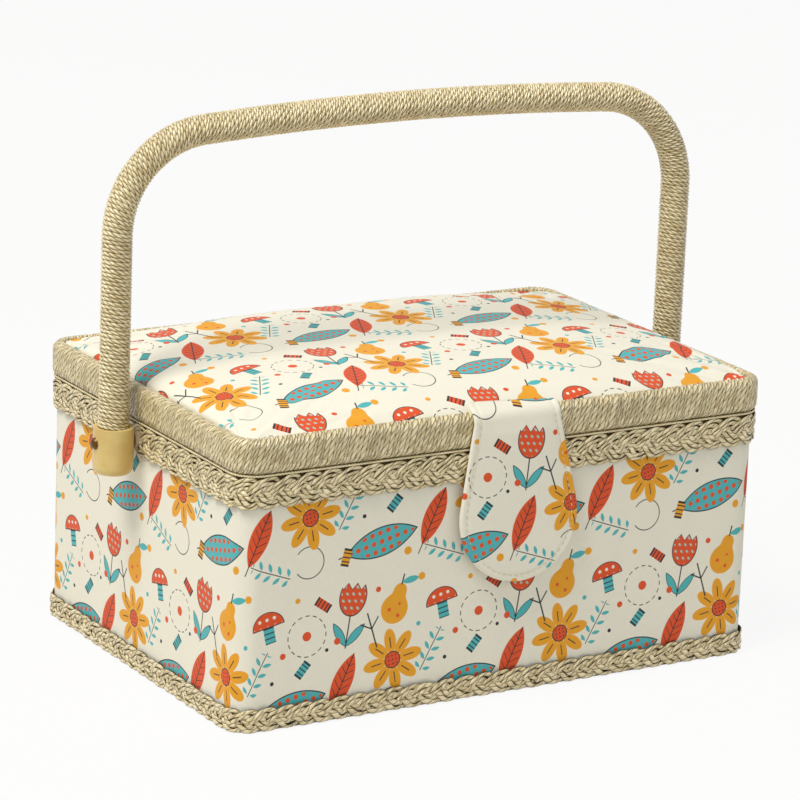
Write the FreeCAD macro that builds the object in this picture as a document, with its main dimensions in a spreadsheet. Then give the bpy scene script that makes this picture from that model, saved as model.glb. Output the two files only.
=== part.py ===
import FreeCAD, Part
import math
import os
import Sketcher

doc = FreeCAD.newDocument("SewingBox")

# Every size in millimetres, written once: name, value, what it is
SIZES = [
    ("rim_length", 300, "lid rim, outside, left to right"),
    ("rim_width", 210, "lid rim, outside, front to back"),
    ("rim_corner", 14, "outside corner radius of the rim"),
    ("braid_inset", 1.25, "both plaits, measured inwards from the rim"),
    ("braid_thick", 1.5, "both plaits"),
    ("cloth_thick", 1, "printed cloth with its paper backing on the body"),
    ("wall_thick", 3.5, "board walls"),
    ("lining_thick", 0.8, "satin lining of the walls"),
    ("cover_thick", 0.8, "paper cover under the floor"),
    ("floor_thick", 3, "board floor"),
    ("floor_pad_thick", 2, "padded satin on the floor"),
    ("seam_height", 127, "underside of the closed lid"),
    ("wall_gap", 1, "walls end this far below the closed lid"),
    ("cloth_turn_thick", 0.7, "cloth turned over the top of the walls"),
    ("lower_braid_bottom", 0.2, "bottom of the lower plait"),
    ("lower_braid_height", 11.7, "height of the lower plait"),
    ("upper_braid_gap", 0.6, "upper plait ends this far below the closed lid"),
    ("upper_braid_height", 15.7, "height of the upper plait"),
    ("braid_round", 1.1, "rounding of a plait's outer edges"),
    ("rim_height", 18, "height of the wrapped rim"),
    ("rim_round", 4, "rounding of the rim's outer edges"),
    ("rim_wrap_thick", 2, "cord wound round the lid frame"),
    ("frame_thick", 3.5, "lid frame"),
    ("wrap_below", 1.2, "wound cord under the lid frame"),
    ("wrap_above", 1.4, "wound cord over the lid frame"),
    ("wrap_inner", 1, "lid frame sunk into the inner side of the wrapping"),
    ("seam_cord_radius", 0.7, "thin cord along the lower edge of the rim"),
    ("seam_cord_inset", 1.3, "centre line of that cord, inwards from the rim"),
    ("seam_cord_rise", 0.15, "centre line of that cord above the seam"),
    ("board_rise", 10, "underside of the lid board above the seam"),
    ("board_thick", 3, "lid board"),
    ("lid_lining_thick", 0.8, "satin under the lid board"),
    ("crown_gap", 0.5, "space between the lid frame and the padded top"),
    ("crown_edge_drop", 1.6, "padded top leaves the rim this far below its top"),
    ("crown_base_drop", 4, "crown curve starts this far below the rim's top"),
    ("crown_rise", 16, "crown above that start"),
    ("crown_reach", 4, "crown curve ends this far inside the rim"),
    ("crown_power_x", 3.6, "squareness of the crown left to right"),
    ("crown_power_y", 4.4, "squareness of the crown front to back"),
    ("crown_power_edge", 0.57, "fullness of the crown towards its edge"),
    ("crown_skin", 1, "cloth over the padding"),
    ("crown_round", 30, "corner radius of the crown at its edge and top"),
    ("crown_round_more", 12, "more corner radius half way up"),
    ("handle_back", 3, "handle pivots behind the middle"),
    ("pivot_drop", 7.5, "handle pivots below the top of the walls"),
    ("cap_gap", 1.2, "space between the rim and the handle's end caps"),
    ("handle_rise", 154.6, "centre line of the bar above the pivots"),
    ("handle_bend", 49, "centre line radius of the two bends"),
    ("bar_radius", 1760, "centre line radius of the slightly arched bar"),
    ("core_radius", 5.4, "round core of the handle"),
    ("wrap_radius", 7.7, "outside of the cord wound on the core"),
    ("ferrule_radius", 10, "plastic end caps"),
    ("ferrule_drop", 16, "end caps below the pivots"),
    ("ferrule_rise", 7.5, "end caps above the pivots"),
    ("ferrule_floor", 4.5, "thickness of an end cap's floor"),
    ("ferrule_round", 4, "rounding under the end caps"),
    ("wrap_gap", 0.1, "space round the wound leg inside its cap"),
    ("pin_radius", 2, "shank of the pivot screws"),
    ("running_gap", 0.06, "radial space round a turning shank"),
    ("pin_hole_gap", 0.3, "radial space round a shank in the walls"),
    ("screw_head_radius", 3, "domed head of the pivot screws"),
    ("screw_head_height", 2, "height of those heads"),
    ("spacer_radius", 4.4, "round spacers between handle and box"),
    ("spacer_gap", 0.2, "space between spacer and end cap"),
    ("spacer_hole_gap", 0.4, "space round a spacer in the plait"),
    ("nut_radius", 5, "caps on the screws inside the box"),
    ("nut_height", 2.5, "height of those caps"),
    ("nut_end", 0.8, "thickness of a cap over the end of its screw"),
    ("hinge_offset", 85, "middle of the box to the middle of a hinge"),
    ("hinge_width", 30, "width of a hinge"),
    ("hinge_axis_out", 1.6, "hinge axis behind the rim"),
    ("knuckle_radius", 1.9, "outside of the hinge knuckles"),
    ("hinge_pin_radius", 0.9, "hinge pin"),
    ("knuckle_gap", 0.2, "space between neighbouring knuckles"),
    ("leaf_thick", 1, "thickness of a hinge leaf"),
    ("leaf_drop", 18, "body leaf reaches below the axis"),
    ("leaf_rise", 15, "lid leaf reaches above the axis"),
    ("leaf_step", 1.6, "axis to the near end of the body leaf"),
    ("lid_leaf_step", 2.5, "axis to the near end of the lid leaf"),
    ("knuckle_length", 10, "middle knuckle of a hinge"),
    ("hinge_screw_offset", 9, "hinge screws to the middle of a hinge"),
    ("hinge_screw_drop", 12, "hinge screws to the hinge axis"),
    ("hinge_screw_radius", 1, "shank of the hinge screws"),
    ("hinge_screw_head", 2.2, "head radius of the hinge screws"),
    ("hinge_screw_head_thick", 0.8, "head thickness of the hinge screws"),
    ("hinge_screw_bite", 2, "hinge screws reach this far into the walls"),
    ("flap_gap", 0.3, "flap to rim"),
    ("flap_thick", 2.6, "whole thickness of the flap"),
    ("flap_backing", 0.6, "cloth on the back of the flap"),
    ("flap_card", 0.6, "card inside the flap"),
    ("flap_card_edge", 4, "card stops short of the flap's edge"),
    ("flap_card_drop", 1, "card starts below the folded end"),
    ("flap_fold", 1.8, "thickness of the folded upper end"),
    ("flap_fold_angle", 75, "degrees of the fold round the rim's edge"),
    ("flap_fold_drop", 8, "lower end of the folded part below the rim's top"),
    ("flap_top_width", 47, "flap at the rim"),
    ("flap_round", 33, "round lower end of the flap"),
    ("flap_round_drop", 53, "centre of that round end below the rim's top"),
    ("flap_plate_drop", 5.5, "top of the flap's flat part below the rim's top"),
    ("flap_root_inset", 3, "strip sewn on the rim, inwards from the rim"),
    ("flap_root_thick", 1.9, "thickness of that strip"),
    ("snap_drop", 10, "snap below the centre of the round end"),
    ("snap_radius", 7, "body half of the snap"),
    ("snap_thick", 1.6, "thickness of that half"),
    ("stud_radius", 6, "flap half of the snap"),
    ("stud_thick", 1.2, "thickness of that half"),
    ("ledge_depth", 6, "tray ledges, inwards"),
    ("ledge_height", 8, "tray ledges, height"),
    ("ledge_short", 18, "tray ledges end this far short of the tray"),
    ("tray_drop", 12, "top of the tray below the top of the walls"),
    ("tray_height", 32, "height of the tray"),
    ("tray_end_gap", 3.95, "space at each end of the tray"),
    ("tray_side_gap", 2.95, "space at the tray's front and back"),
    ("tray_corner", 7, "corner radius of the tray"),
    ("tray_wall", 1.8, "walls and floor of the tray"),
    ("divider_thick", 1.6, "tray dividers"),
    ("divider_height", 28, "height of the dividers"),
    ("divider_line", -14, "long divider, from the middle"),
    ("notch_radius", 13, "finger notches in the tray's ends"),
    ("cushion_inset", 39, "middle of the pincushion behind the front of the rim"),
    ("cushion_radius", 25, "pincushion"),
    ("cushion_height", 13, "height of the pincushion"),
    ("cushion_base", 2, "card ring under the pincushion"),
    ("cushion_edge", 1.5, "card ring stands out round the pincushion"),
    ("cushion_side", 1.5, "straight part of the pincushion's side"),
    ("pocket_side", 25, "gathered pocket under the lid, inwards from each end"),
    ("pocket_back_inset", 17, "sewn end of the pocket, inwards from the rim"),
    ("pocket_gap", 2.9, "space between the card ring and the pocket"),
    ("pocket_thick", 4.5, "fullness of the pocket"),
    ("pocket_side_height", 1.5, "straight part of the pocket's side"),
    ("elastic_radius", 2.6, "gathered elastic mouth"),
]

sheet = doc.addObject("Spreadsheet::Sheet", "sizes")
for row, (alias, value, note) in enumerate(SIZES, start=1):
    sheet.set("A%d" % row, note)
    sheet.set("B%d" % row, str(value))
    sheet.setAlias("B%d" % row, alias)
doc.recompute()

parts = []
NEAR = 0.01

# Places that follow from the sheet, inwards from the rim
CLOTH_INSET = "(@braid_inset + @braid_thick)"
WALL_INSET = "(%s + @cloth_thick)" % CLOTH_INSET
WALL_INNER = "(%s + @wall_thick)" % WALL_INSET
LINING_INNER = "(%s + @lining_thick)" % WALL_INNER
FRAME_INNER = "(@rim_wrap_thick + @frame_thick)"

# Heights that follow from the sheet
FLOOR_TOP = "(@cover_thick + @floor_thick)"
WALL_TOP = "(@seam_height - @wall_gap)"
PIVOT_HEIGHT = "(%s - @pivot_drop)" % WALL_TOP
RIM_TOP = "(@seam_height + @rim_height)"
FRAME_BOTTOM = "(@seam_height + @wrap_below)"
FRAME_TOP = "(%s - @wrap_above)" % RIM_TOP
BOARD_BOTTOM = "(@seam_height + @board_rise)"
BOARD_TOP = "(%s + @board_thick)" % BOARD_BOTTOM
LINING_BOTTOM = "(%s - @lid_lining_thick)" % BOARD_BOTTOM


def size(alias):
    """Read one named size from the sheet."""
    return float(sheet.get(alias))


def bind(text):
    """Turn @name into a reference to the sheet."""
    return text.replace("@", "sizes.")


def keep(feature, name):
    """Name a finished piece and list it for writing."""
    feature.Label = name
    parts.append((name, feature))
    return feature


def new_body(name):
    """Start an empty body."""
    body = doc.addObject("PartDesign::Body", name)
    return body


def origin_plane(body, role):
    """Find one of the body's own base planes."""
    return [item for item in body.Origin.OriginFeatures if item.Role == role][0]


def new_sketch(body, name, role, offset="0"):
    """Start a sketch on a base plane, moved along its normal."""
    sketch = body.newObject("Sketcher::SketchObject", name)
    sketch.AttachmentSupport = [(origin_plane(body, role), "")]
    sketch.MapMode = "FlatFace"
    sketch.setExpression("AttachmentOffset.Base.z", bind(offset))
    return sketch


def limit(sketch, constraint, expression):
    """Add a dimension that takes its value from the sheet."""
    index = sketch.addConstraint(constraint)
    sketch.setExpression("Constraints[%d]" % index, bind(expression))


def rounded_outline(sketch, length, width, radius):
    """Draw a rounded rectangle about the middle."""
    a, b, r = 90.0, 60.0, 5.0
    v = FreeCAD.Vector
    lines = [(v(r - a, -b), v(a - r, -b)), (v(a, r - b), v(a, b - r)),
             (v(a - r, b), v(r - a, b)), (v(-a, b - r), v(-a, r - b))]
    centres = [v(a - r, r - b), v(a - r, b - r), v(r - a, b - r), v(r - a, r - b)]
    edges = [sketch.addGeometry(Part.LineSegment(p, q)) for p, q in lines]
    corners = []
    for number, centre in enumerate(centres):
        start = math.radians(-90 + 90 * number)
        circle = Part.Circle(centre, v(0, 0, 1), r)
        corners.append(sketch.addGeometry(Part.ArcOfCircle(circle, start, start + math.pi / 2)))
    for number in range(4):
        sketch.addConstraint(Sketcher.Constraint("Tangent", edges[number], 2, corners[number], 1))
        following = edges[(number + 1) % 4]
        sketch.addConstraint(Sketcher.Constraint("Tangent", corners[number], 2, following, 1))
    for number in (0, 2):
        sketch.addConstraint(Sketcher.Constraint("Horizontal", edges[number]))
        sketch.addConstraint(Sketcher.Constraint("Vertical", edges[number + 1]))
    for number in (1, 2, 3):
        sketch.addConstraint(Sketcher.Constraint("Equal", corners[0], corners[number]))
    sketch.addConstraint(Sketcher.Constraint("Symmetric", corners[0], 3, corners[2], 3, -1, 1))
    limit(sketch, Sketcher.Constraint("Radius", corners[0], r), radius)
    limit(sketch, Sketcher.Constraint("DistanceX", edges[3], 1, edges[1], 1, 2 * a), length)
    limit(sketch, Sketcher.Constraint("DistanceY", edges[0], 1, edges[2], 1, 2 * b), width)


def rim_outline(sketch, inset):
    """Draw an outline that runs inside the rim at an even distance."""
    rounded_outline(sketch, "@rim_length - 2 * (%s)" % inset,
                    "@rim_width - 2 * (%s)" % inset, "@rim_corner - (%s)" % inset)


def circle_at(sketch, across, up, radius):
    """Draw a circle at a place in a sketch."""
    x, y, r = 20.0, 100.0, 3.0
    ring = sketch.addGeometry(Part.Circle(FreeCAD.Vector(x, y, 0), FreeCAD.Vector(0, 0, 1), r))
    limit(sketch, Sketcher.Constraint("DistanceX", -1, 1, ring, 3, x), across)
    limit(sketch, Sketcher.Constraint("DistanceY", -1, 1, ring, 3, y), up)
    limit(sketch, Sketcher.Constraint("Radius", ring, r), radius)


def pad(body, sketch, length, both_ways=False):
    """Push a sketch out by a length from the sheet."""
    feature = body.newObject("PartDesign::Pad", "Pad")
    feature.Profile = sketch
    feature.setExpression("Length", bind(length))
    feature.Midplane = both_ways
    sketch.Visibility = False
    body.Tip = feature
    return feature


def pocket(body, sketch, length=None, both_ways=False):
    """Cut a sketch through, or to a depth from the sheet."""
    doc.recompute()
    before = body.Shape.Volume
    feature = body.newObject("PartDesign::Pocket", "Pocket")
    feature.Profile = sketch
    feature.Midplane = both_ways
    if length is None:
        feature.Type = 1
    else:
        feature.setExpression("Length", bind(length))
    sketch.Visibility = False
    body.Tip = feature
    doc.recompute()
    if body.Shape.Volume >= before:
        raise ValueError("%s: a cut removes nothing" % body.Name)
    return feature


def slab(name, inset, low, high):
    """Make a flat piece that follows the rim's outline."""
    body = new_body(name)
    sketch = new_sketch(body, name + "_outline", "XY_Plane", low)
    rim_outline(sketch, inset)
    pad(body, sketch, "(%s) - (%s)" % (high, low))
    return body


def loop(name, outer_inset, inner_inset, low, high):
    """Make a band that follows the rim's outline."""
    body = new_body(name)
    sketch = new_sketch(body, name + "_outline", "XY_Plane", low)
    rim_outline(sketch, outer_inset)
    rim_outline(sketch, inner_inset)
    pad(body, sketch, "(%s) - (%s)" % (high, low))
    return body


def round_outer_edges(body, radius):
    """Round the upper and lower outermost edges of a band."""
    doc.recompute()
    base = body.Tip
    half_x = body.Shape.BoundBox.XMax - NEAR
    half_y = body.Shape.BoundBox.YMax - NEAR
    chosen = []
    for number, edge in enumerate(body.Shape.Edges, start=1):
        reach = edge.BoundBox
        outermost = (reach.XMax > half_x or reach.XMin < -half_x
                     or reach.YMax > half_y or reach.YMin < -half_y)
        if outermost and reach.ZLength < NEAR:
            chosen.append("Edge%d" % number)
    feature = body.newObject("PartDesign::Fillet", "Fillet")
    feature.Base = (base, chosen)
    feature.setExpression("Radius", bind(radius))
    body.Tip = feature
    return feature


def round_lower_edges(body, radius):
    """Round the edges round the underside of a body."""
    doc.recompute()
    base = body.Tip
    low = body.Shape.BoundBox.ZMin + NEAR
    chosen = ["Edge%d" % number for number, edge in enumerate(body.Shape.Edges, start=1)
              if edge.BoundBox.ZMax < low]
    feature = body.newObject("PartDesign::Fillet", "Fillet")
    feature.Base = (base, chosen)
    feature.setExpression("Radius", bind(radius))
    body.Tip = feature
    return feature


def pivot_holes(body, radius):
    """Cut the two handle pivot holes through both ends."""
    sketch = new_sketch(body, body.Name + "_pivot_holes", "YZ_Plane")
    circle_at(sketch, "@handle_back", PIVOT_HEIGHT, radius)
    pocket(body, sketch, both_ways=True)


def hinge_screw_holes(body, drop, radius):
    """Cut four holes for hinge screws through the back."""
    sketch = new_sketch(body, body.Name + "_hinge_holes", "XZ_Plane")
    for side in ("", "-"):
        for step in ("+", "-"):
            place = "%s(@hinge_offset %s @hinge_screw_offset)" % (side, step)
            circle_at(sketch, place, "@seam_height %s @hinge_screw_drop" % drop, radius)
    pocket(body, sketch)


def box(name, corner, lengths):
    """Make a plain block from a corner and three lengths."""
    feature = doc.addObject("Part::Box", name)
    for axis, text in zip("xyz", corner):
        feature.setExpression("Placement.Base." + axis, bind(text))
    for key, text in zip(("Length", "Width", "Height"), lengths):
        feature.setExpression(key, bind(text))
    return feature


def cylinder(name, base, radius, length, direction):
    """Make a round bar along one axis, direction being x, y, z or -x, -y."""
    turns = {"x": ((0, 1, 0), 90), "-x": ((0, 1, 0), -90),
             "y": ((1, 0, 0), -90), "-y": ((1, 0, 0), 90), "z": ((0, 0, 1), 0)}
    axis, angle = turns[direction]
    feature = doc.addObject("Part::Cylinder", name)
    feature.Placement.Rotation = FreeCAD.Rotation(FreeCAD.Vector(*axis), angle)
    for letter, text in zip("xyz", base):
        feature.setExpression("Placement.Base." + letter, bind(text))
    feature.setExpression("Radius", bind(radius))
    feature.setExpression("Height", bind(length))
    return feature


def fuse(name, pieces):
    """Join pieces into one."""
    feature = doc.addObject("Part::MultiFuse", name)
    feature.Shapes = pieces
    return feature


def cut(name, base, tool):
    """Take one piece away from another."""
    feature = doc.addObject("Part::Cut", name)
    feature.Base = base
    feature.Tool = tool
    return feature


def mirror(name, source, normal=(1, 0, 0)):
    """Mirror a piece through the middle of the box."""
    feature = doc.addObject("Part::Mirroring", name)
    feature.Source = source
    feature.Normal = FreeCAD.Vector(*normal)
    return feature


def group(name, pieces):
    """Put separate solids into one node."""
    feature = doc.addObject("Part::Compound", name)
    feature.Links = pieces
    return feature


# Box body: cover, floor, walls, cloth and lining
keep(slab("base_cover", CLOTH_INSET, "0", "@cover_thick"), "base_cover")
keep(slab("box_floor", WALL_INSET, "@cover_thick", FLOOR_TOP), "box_floor")

walls = loop("box_walls", WALL_INSET, WALL_INNER, FLOOR_TOP, WALL_TOP)
pivot_holes(walls, "@pin_radius + @pin_hole_gap")
hinge_screw_holes(walls, "-", "@hinge_screw_radius")
keep(walls, "box_walls")

cloth = loop("body_fabric", CLOTH_INSET, WALL_INSET, "@cover_thick", WALL_TOP)
turn = new_sketch(cloth, "cloth_turn", "XY_Plane", WALL_TOP)
rim_outline(turn, CLOTH_INSET)
rim_outline(turn, WALL_INNER)
pad(cloth, turn, "@cloth_turn_thick")
pivot_holes(cloth, "@pin_radius + @pin_hole_gap")
hinge_screw_holes(cloth, "-", "@hinge_screw_radius")
keep(cloth, "body_fabric")

FLOOR_PAD_TOP = FLOOR_TOP + " + @floor_pad_thick"
keep(slab("floor_pad", WALL_INNER, FLOOR_TOP, FLOOR_PAD_TOP), "floor_pad")
lining = loop("wall_lining", WALL_INNER, LINING_INNER, FLOOR_PAD_TOP, WALL_TOP)
pivot_holes(lining, "@pin_radius + @pin_hole_gap")
keep(lining, "wall_lining")

# Two flat plaits round the body
lower = loop("lower_braid", "@braid_inset", CLOTH_INSET, "@lower_braid_bottom",
             "@lower_braid_bottom + @lower_braid_height")
round_outer_edges(lower, "@braid_round")
keep(lower, "lower_braid")

UPPER_BRAID_TOP = "(@seam_height - @upper_braid_gap)"
upper = loop("upper_braid", "@braid_inset", CLOTH_INSET,
             UPPER_BRAID_TOP + " - @upper_braid_height", UPPER_BRAID_TOP)
round_outer_edges(upper, "@braid_round")
pivot_holes(upper, "@spacer_radius + @spacer_hole_gap")
hinge_screw_holes(upper, "-", "@hinge_screw_radius")
keep(upper, "upper_braid")

# Lift-out tray on two ledges
TRAY_LENGTH = "(@rim_length - 2 * %s - 2 * @tray_end_gap)" % LINING_INNER
TRAY_WIDTH = "(@rim_width - 2 * %s - 2 * @tray_side_gap)" % LINING_INNER
TRAY_TOP = "(%s - @tray_drop)" % WALL_TOP
TRAY_BOTTOM = "(%s - @tray_height)" % TRAY_TOP
LEDGE_HALF = "(%s / 2 - @ledge_short)" % TRAY_LENGTH
ledge = box("ledge_front", ("-" + LEDGE_HALF, "-@rim_width / 2 + " + LINING_INNER,
                            TRAY_BOTTOM + " - @ledge_height"),
            ("2 * " + LEDGE_HALF, "@ledge_depth", "@ledge_height"))
keep(group("tray_ledges", [ledge, mirror("ledge_back", ledge, (0, 1, 0))]), "tray_ledges")

tray = new_body("tray_shell")
tray_plan = new_sketch(tray, "tray_plan", "XY_Plane", TRAY_BOTTOM)
rounded_outline(tray_plan, TRAY_LENGTH, TRAY_WIDTH, "@tray_corner")
pad(tray, tray_plan, "@tray_height")
tray_hollow = new_sketch(tray, "tray_hollow", "XY_Plane", TRAY_TOP)
rounded_outline(tray_hollow, TRAY_LENGTH + " - 2 * @tray_wall", TRAY_WIDTH + " - 2 * @tray_wall",
                "@tray_corner - @tray_wall")
pocket(tray, tray_hollow, "@tray_height - @tray_wall")
notches = new_sketch(tray, "finger_notches", "YZ_Plane")
circle_at(notches, "0 mm", TRAY_TOP, "@notch_radius")
pocket(tray, notches, both_ways=True)
keep(tray, "tray_shell")

INSIDE_X = "(%s / 2 - @tray_wall)" % TRAY_LENGTH
INSIDE_Y = "(%s / 2 - @tray_wall)" % TRAY_WIDTH
DIVIDER_Z = TRAY_BOTTOM + " + @tray_wall"
dividers = [box("long_divider", ("-" + INSIDE_X, "@divider_line - @divider_thick / 2", DIVIDER_Z),
                ("2 * " + INSIDE_X, "@divider_thick", "@divider_height"))]
for number, share in enumerate(("-1 / 2", "0", "1 / 2")):
    place = INSIDE_X + " * (" + share + ") - @divider_thick / 2"
    dividers.append(box("front_divider_%d" % number, (place, "-" + INSIDE_Y, DIVIDER_Z),
                        ("@divider_thick", INSIDE_Y + " + @divider_line - @divider_thick / 2",
                         "@divider_height")))
for number, share in enumerate(("-1 / 3", "1 / 3")):
    place = INSIDE_X + " * (" + share + ") - @divider_thick / 2"
    dividers.append(box("back_divider_%d" % number,
                        (place, "@divider_line + @divider_thick / 2", DIVIDER_Z),
                        ("@divider_thick", INSIDE_Y + " - @divider_line - @divider_thick / 2",
                         "@divider_height")))
keep(group("tray_dividers", dividers), "tray_dividers")

# Lid: frame, wound rim, board, padding and cloth
frame = loop("lid_frame", "@rim_wrap_thick", FRAME_INNER, FRAME_BOTTOM, FRAME_TOP)
hinge_screw_holes(frame, "+", "@hinge_screw_radius")
keep(frame, "lid_frame")

rim = loop("rim_block", "0", FRAME_INNER, "@seam_height", RIM_TOP)
round_outer_edges(rim, "@rim_round")
hinge_screw_holes(rim, "+", "@hinge_screw_radius")
frame_space = loop("frame_space", "@rim_wrap_thick", FRAME_INNER + " + @wrap_inner",
                   FRAME_BOTTOM, FRAME_TOP)
keep(cut("rim_wrap", rim, frame_space), "rim_wrap")

CROWN_LEVELS = 8


def dome(name, skin):
    """Make the crowned top, a skin's thickness inside the cloth."""
    body = new_body(name)
    edge_inset = "%s + @crown_gap + %s" % (FRAME_INNER, skin)
    edge_height = "%s - @crown_edge_drop - %s" % (RIM_TOP, skin)
    base = new_sketch(body, name + "_base", "XY_Plane", BOARD_TOP)
    rim_outline(base, edge_inset)
    pad(body, base, "%s - %s" % (edge_height, BOARD_TOP))
    sections = [new_sketch(body, name + "_edge", "XY_Plane", edge_height)]
    rim_outline(sections[0], edge_inset)
    for number in range(1, CROWN_LEVELS + 1):
        share = 1 - (1 - number / (CROWN_LEVELS + 1)) ** 2
        middle = math.sin(math.pi * (number - 1) / (CROWN_LEVELS - 1))
        level = "%s - @crown_base_drop + @crown_rise * %.4f - %s" % (RIM_TOP, share, skin)
        left = "(1 - pow(%.4f; 1 / @crown_power_edge))" % share
        reach = ["2 * ((@rim_%s / 2 - @crown_reach) * pow(%s; 1 / @crown_power_%s) - %s)"
                 % (side, left, letter, skin) for side, letter in (("length", "x"), ("width", "y"))]
        section = new_sketch(body, "%s_level_%d" % (name, number), "XY_Plane", level)
        rounded_outline(section, reach[0], reach[1],
                        "@crown_round + @crown_round_more * %.4f - %s" % (middle, skin))
        sections.append(section)
    loft = body.newObject("PartDesign::AdditiveLoft", "Crown")
    loft.Profile = sections[0]
    loft.Sections = sections[1:]
    loft.Ruled = True
    for section in sections:
        section.Visibility = False
    body.Tip = loft
    return body


keep(slab("lid_board", FRAME_INNER, BOARD_BOTTOM, BOARD_TOP), "lid_board")
padding = dome("lid_pad", "@crown_skin")
keep(padding, "lid_pad")
keep(cut("lid_fabric", dome("lid_cloth_block", "0"), padding), "lid_fabric")

# Thin cord under the rim
def rim_path(inset, height):
    """Trace the rim's outline at an inset as a closed wire."""
    a = size("rim_length") / 2 - inset
    b = size("rim_width") / 2 - inset
    r = size("rim_corner") - inset
    v = FreeCAD.Vector
    edges = []
    corners = [(a - r, r - b, -90), (a - r, b - r, 0), (r - a, b - r, 90), (r - a, r - b, 180)]
    for number, (x, y, start) in enumerate(corners):
        centre = v(x, y, height)
        edges.append(Part.makeCircle(r, centre, v(0, 0, 1), start, start + 90))
        nx, ny, turned = corners[(number + 1) % 4]
        turn = math.radians(turned)
        here = centre + v(r * math.cos(turn), r * math.sin(turn), 0)
        there = v(nx + r * math.cos(turn), ny + r * math.sin(turn), height)
        edges.append(Part.makeLine(here, there))
    return Part.Wire(edges)


cord_path = rim_path(size("seam_cord_inset"), size("seam_height") + size("seam_cord_rise"))
cord_start = cord_path.Edges[0].valueAt(cord_path.Edges[0].FirstParameter)
cord_ring = Part.Wire(Part.makeCircle(size("seam_cord_radius"), cord_start,
                                      FreeCAD.Vector(1, 0, 0)))
cord = doc.addObject("Part::Feature", "seam_cord")
cord.Shape = cord_path.makePipeShell([cord_ring], True, True)
keep(cord, "seam_cord")

# Inside of the lid: satin, gathered pocket and pincushion
keep(slab("lid_lining", FRAME_INNER, LINING_BOTTOM, BOARD_BOTTOM), "lid_lining")

CUSHION_AT = "(@cushion_inset - @rim_width / 2)"
POCKET_LENGTH = "(@rim_length - 2 * @pocket_side)"
POCKET_BACK = "(@rim_width / 2 - @pocket_back_inset)"
ELASTIC_FRONT = "(%s + @cushion_radius + @cushion_edge + @pocket_gap)" % CUSHION_AT
POCKET_FRONT = "(%s + 2 * @elastic_radius)" % ELASTIC_FRONT

pouch = new_body("lid_pocket")
pouch_plan = new_sketch(pouch, "pocket_plan", "XY_Plane", LINING_BOTTOM + " - @pocket_thick")
pouch_plan.setExpression("AttachmentOffset.Base.y",
                         bind("(%s + %s) / 2" % (POCKET_FRONT, POCKET_BACK)))
rounded_outline(pouch_plan, POCKET_LENGTH, "%s - %s" % (POCKET_BACK, POCKET_FRONT), "@tray_corner")
pad(pouch, pouch_plan, "@pocket_thick")
round_lower_edges(pouch, "@pocket_thick - @pocket_side_height")
keep(pouch, "lid_pocket")

keep(cylinder("pocket_elastic", ("-%s / 2" % POCKET_LENGTH, ELASTIC_FRONT + " + @elastic_radius",
                                 LINING_BOTTOM + " - @elastic_radius"),
              "@elastic_radius", POCKET_LENGTH, "x"), "pocket_elastic")
keep(cylinder("pincushion_base", ("0 mm", CUSHION_AT, LINING_BOTTOM + " - @cushion_base"),
              "@cushion_radius + @cushion_edge", "@cushion_base", "z"), "pincushion_base")

cushion = new_body("pincushion")
cushion_plan = new_sketch(cushion, "cushion_plan", "XY_Plane", LINING_BOTTOM + " - @cushion_height")
circle_at(cushion_plan, "0 mm", CUSHION_AT, "@cushion_radius")
pad(cushion, cushion_plan, "@cushion_height - @cushion_base")
round_lower_edges(cushion, "@cushion_height - @cushion_base - @cushion_side")
keep(cushion, "pincushion")

# Flap: a strip on the rim, then cloth, card and backing that swing together
FLAP_BACK = "@rim_width / 2 + @flap_gap"
FOLD_BACK = "@rim_width / 2 - @rim_round"
FOLD_HEIGHT = "(%s - @rim_round)" % RIM_TOP
FOLD_BOTTOM = "(%s - @flap_fold_drop)" % RIM_TOP
ROUND_HEIGHT = "(%s - @flap_round_drop)" % RIM_TOP


def flap_outline(sketch, edge, top):
    """Draw the tongue: straight sides that run into a round end."""
    v = FreeCAD.Vector
    middle, radius, half, high = 92.0, 33.0, 23.5, 139.0
    lean = 10.0
    side = v(radius * math.cos(math.radians(lean)), middle + radius * math.sin(math.radians(lean)), 0)
    other = v(-side.x, side.y, 0)
    upper_edge = sketch.addGeometry(Part.LineSegment(v(-half, high, 0), v(half, high, 0)))
    right = sketch.addGeometry(Part.LineSegment(v(half, high, 0), side))
    left = sketch.addGeometry(Part.LineSegment(other, v(-half, high, 0)))
    circle = Part.Circle(v(0, middle, 0), v(0, 0, 1), radius)
    end = sketch.addGeometry(Part.ArcOfCircle(circle, math.radians(180 - lean),
                                              math.radians(360 + lean)))
    sketch.addConstraint(Sketcher.Constraint("Coincident", upper_edge, 2, right, 1))
    sketch.addConstraint(Sketcher.Constraint("Coincident", left, 2, upper_edge, 1))
    sketch.addConstraint(Sketcher.Constraint("Tangent", right, 2, end, 2))
    sketch.addConstraint(Sketcher.Constraint("Tangent", end, 1, left, 1))
    sketch.addConstraint(Sketcher.Constraint("Symmetric", upper_edge, 1, upper_edge, 2, -2))
    sketch.addConstraint(Sketcher.Constraint("PointOnObject", end, 3, -2))
    limit(sketch, Sketcher.Constraint("Radius", end, radius), "@flap_round - (%s)" % edge)
    limit(sketch, Sketcher.Constraint("DistanceY", -1, 1, end, 3, middle), ROUND_HEIGHT)
    limit(sketch, Sketcher.Constraint("DistanceX", upper_edge, 1, upper_edge, 2, 2 * half),
          "@flap_top_width - 2 * (%s)" % edge)
    limit(sketch, Sketcher.Constraint("DistanceY", -1, 1, upper_edge, 1, high), top)


def flap_layer(name, depth, thick, edge, top):
    """Make one flat layer of the flap."""
    body = new_body(name)
    sketch = new_sketch(body, name + "_outline", "XZ_Plane", depth)
    flap_outline(sketch, edge, top)
    pad(body, sketch, thick)
    return body


strip = box("flap_root", ("-@flap_top_width / 2", "@flap_root_inset - @rim_width / 2", RIM_TOP),
            ("@flap_top_width", FRAME_INNER + " - @flap_root_inset", "@flap_root_thick"))
keep(strip, "flap_root")

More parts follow.
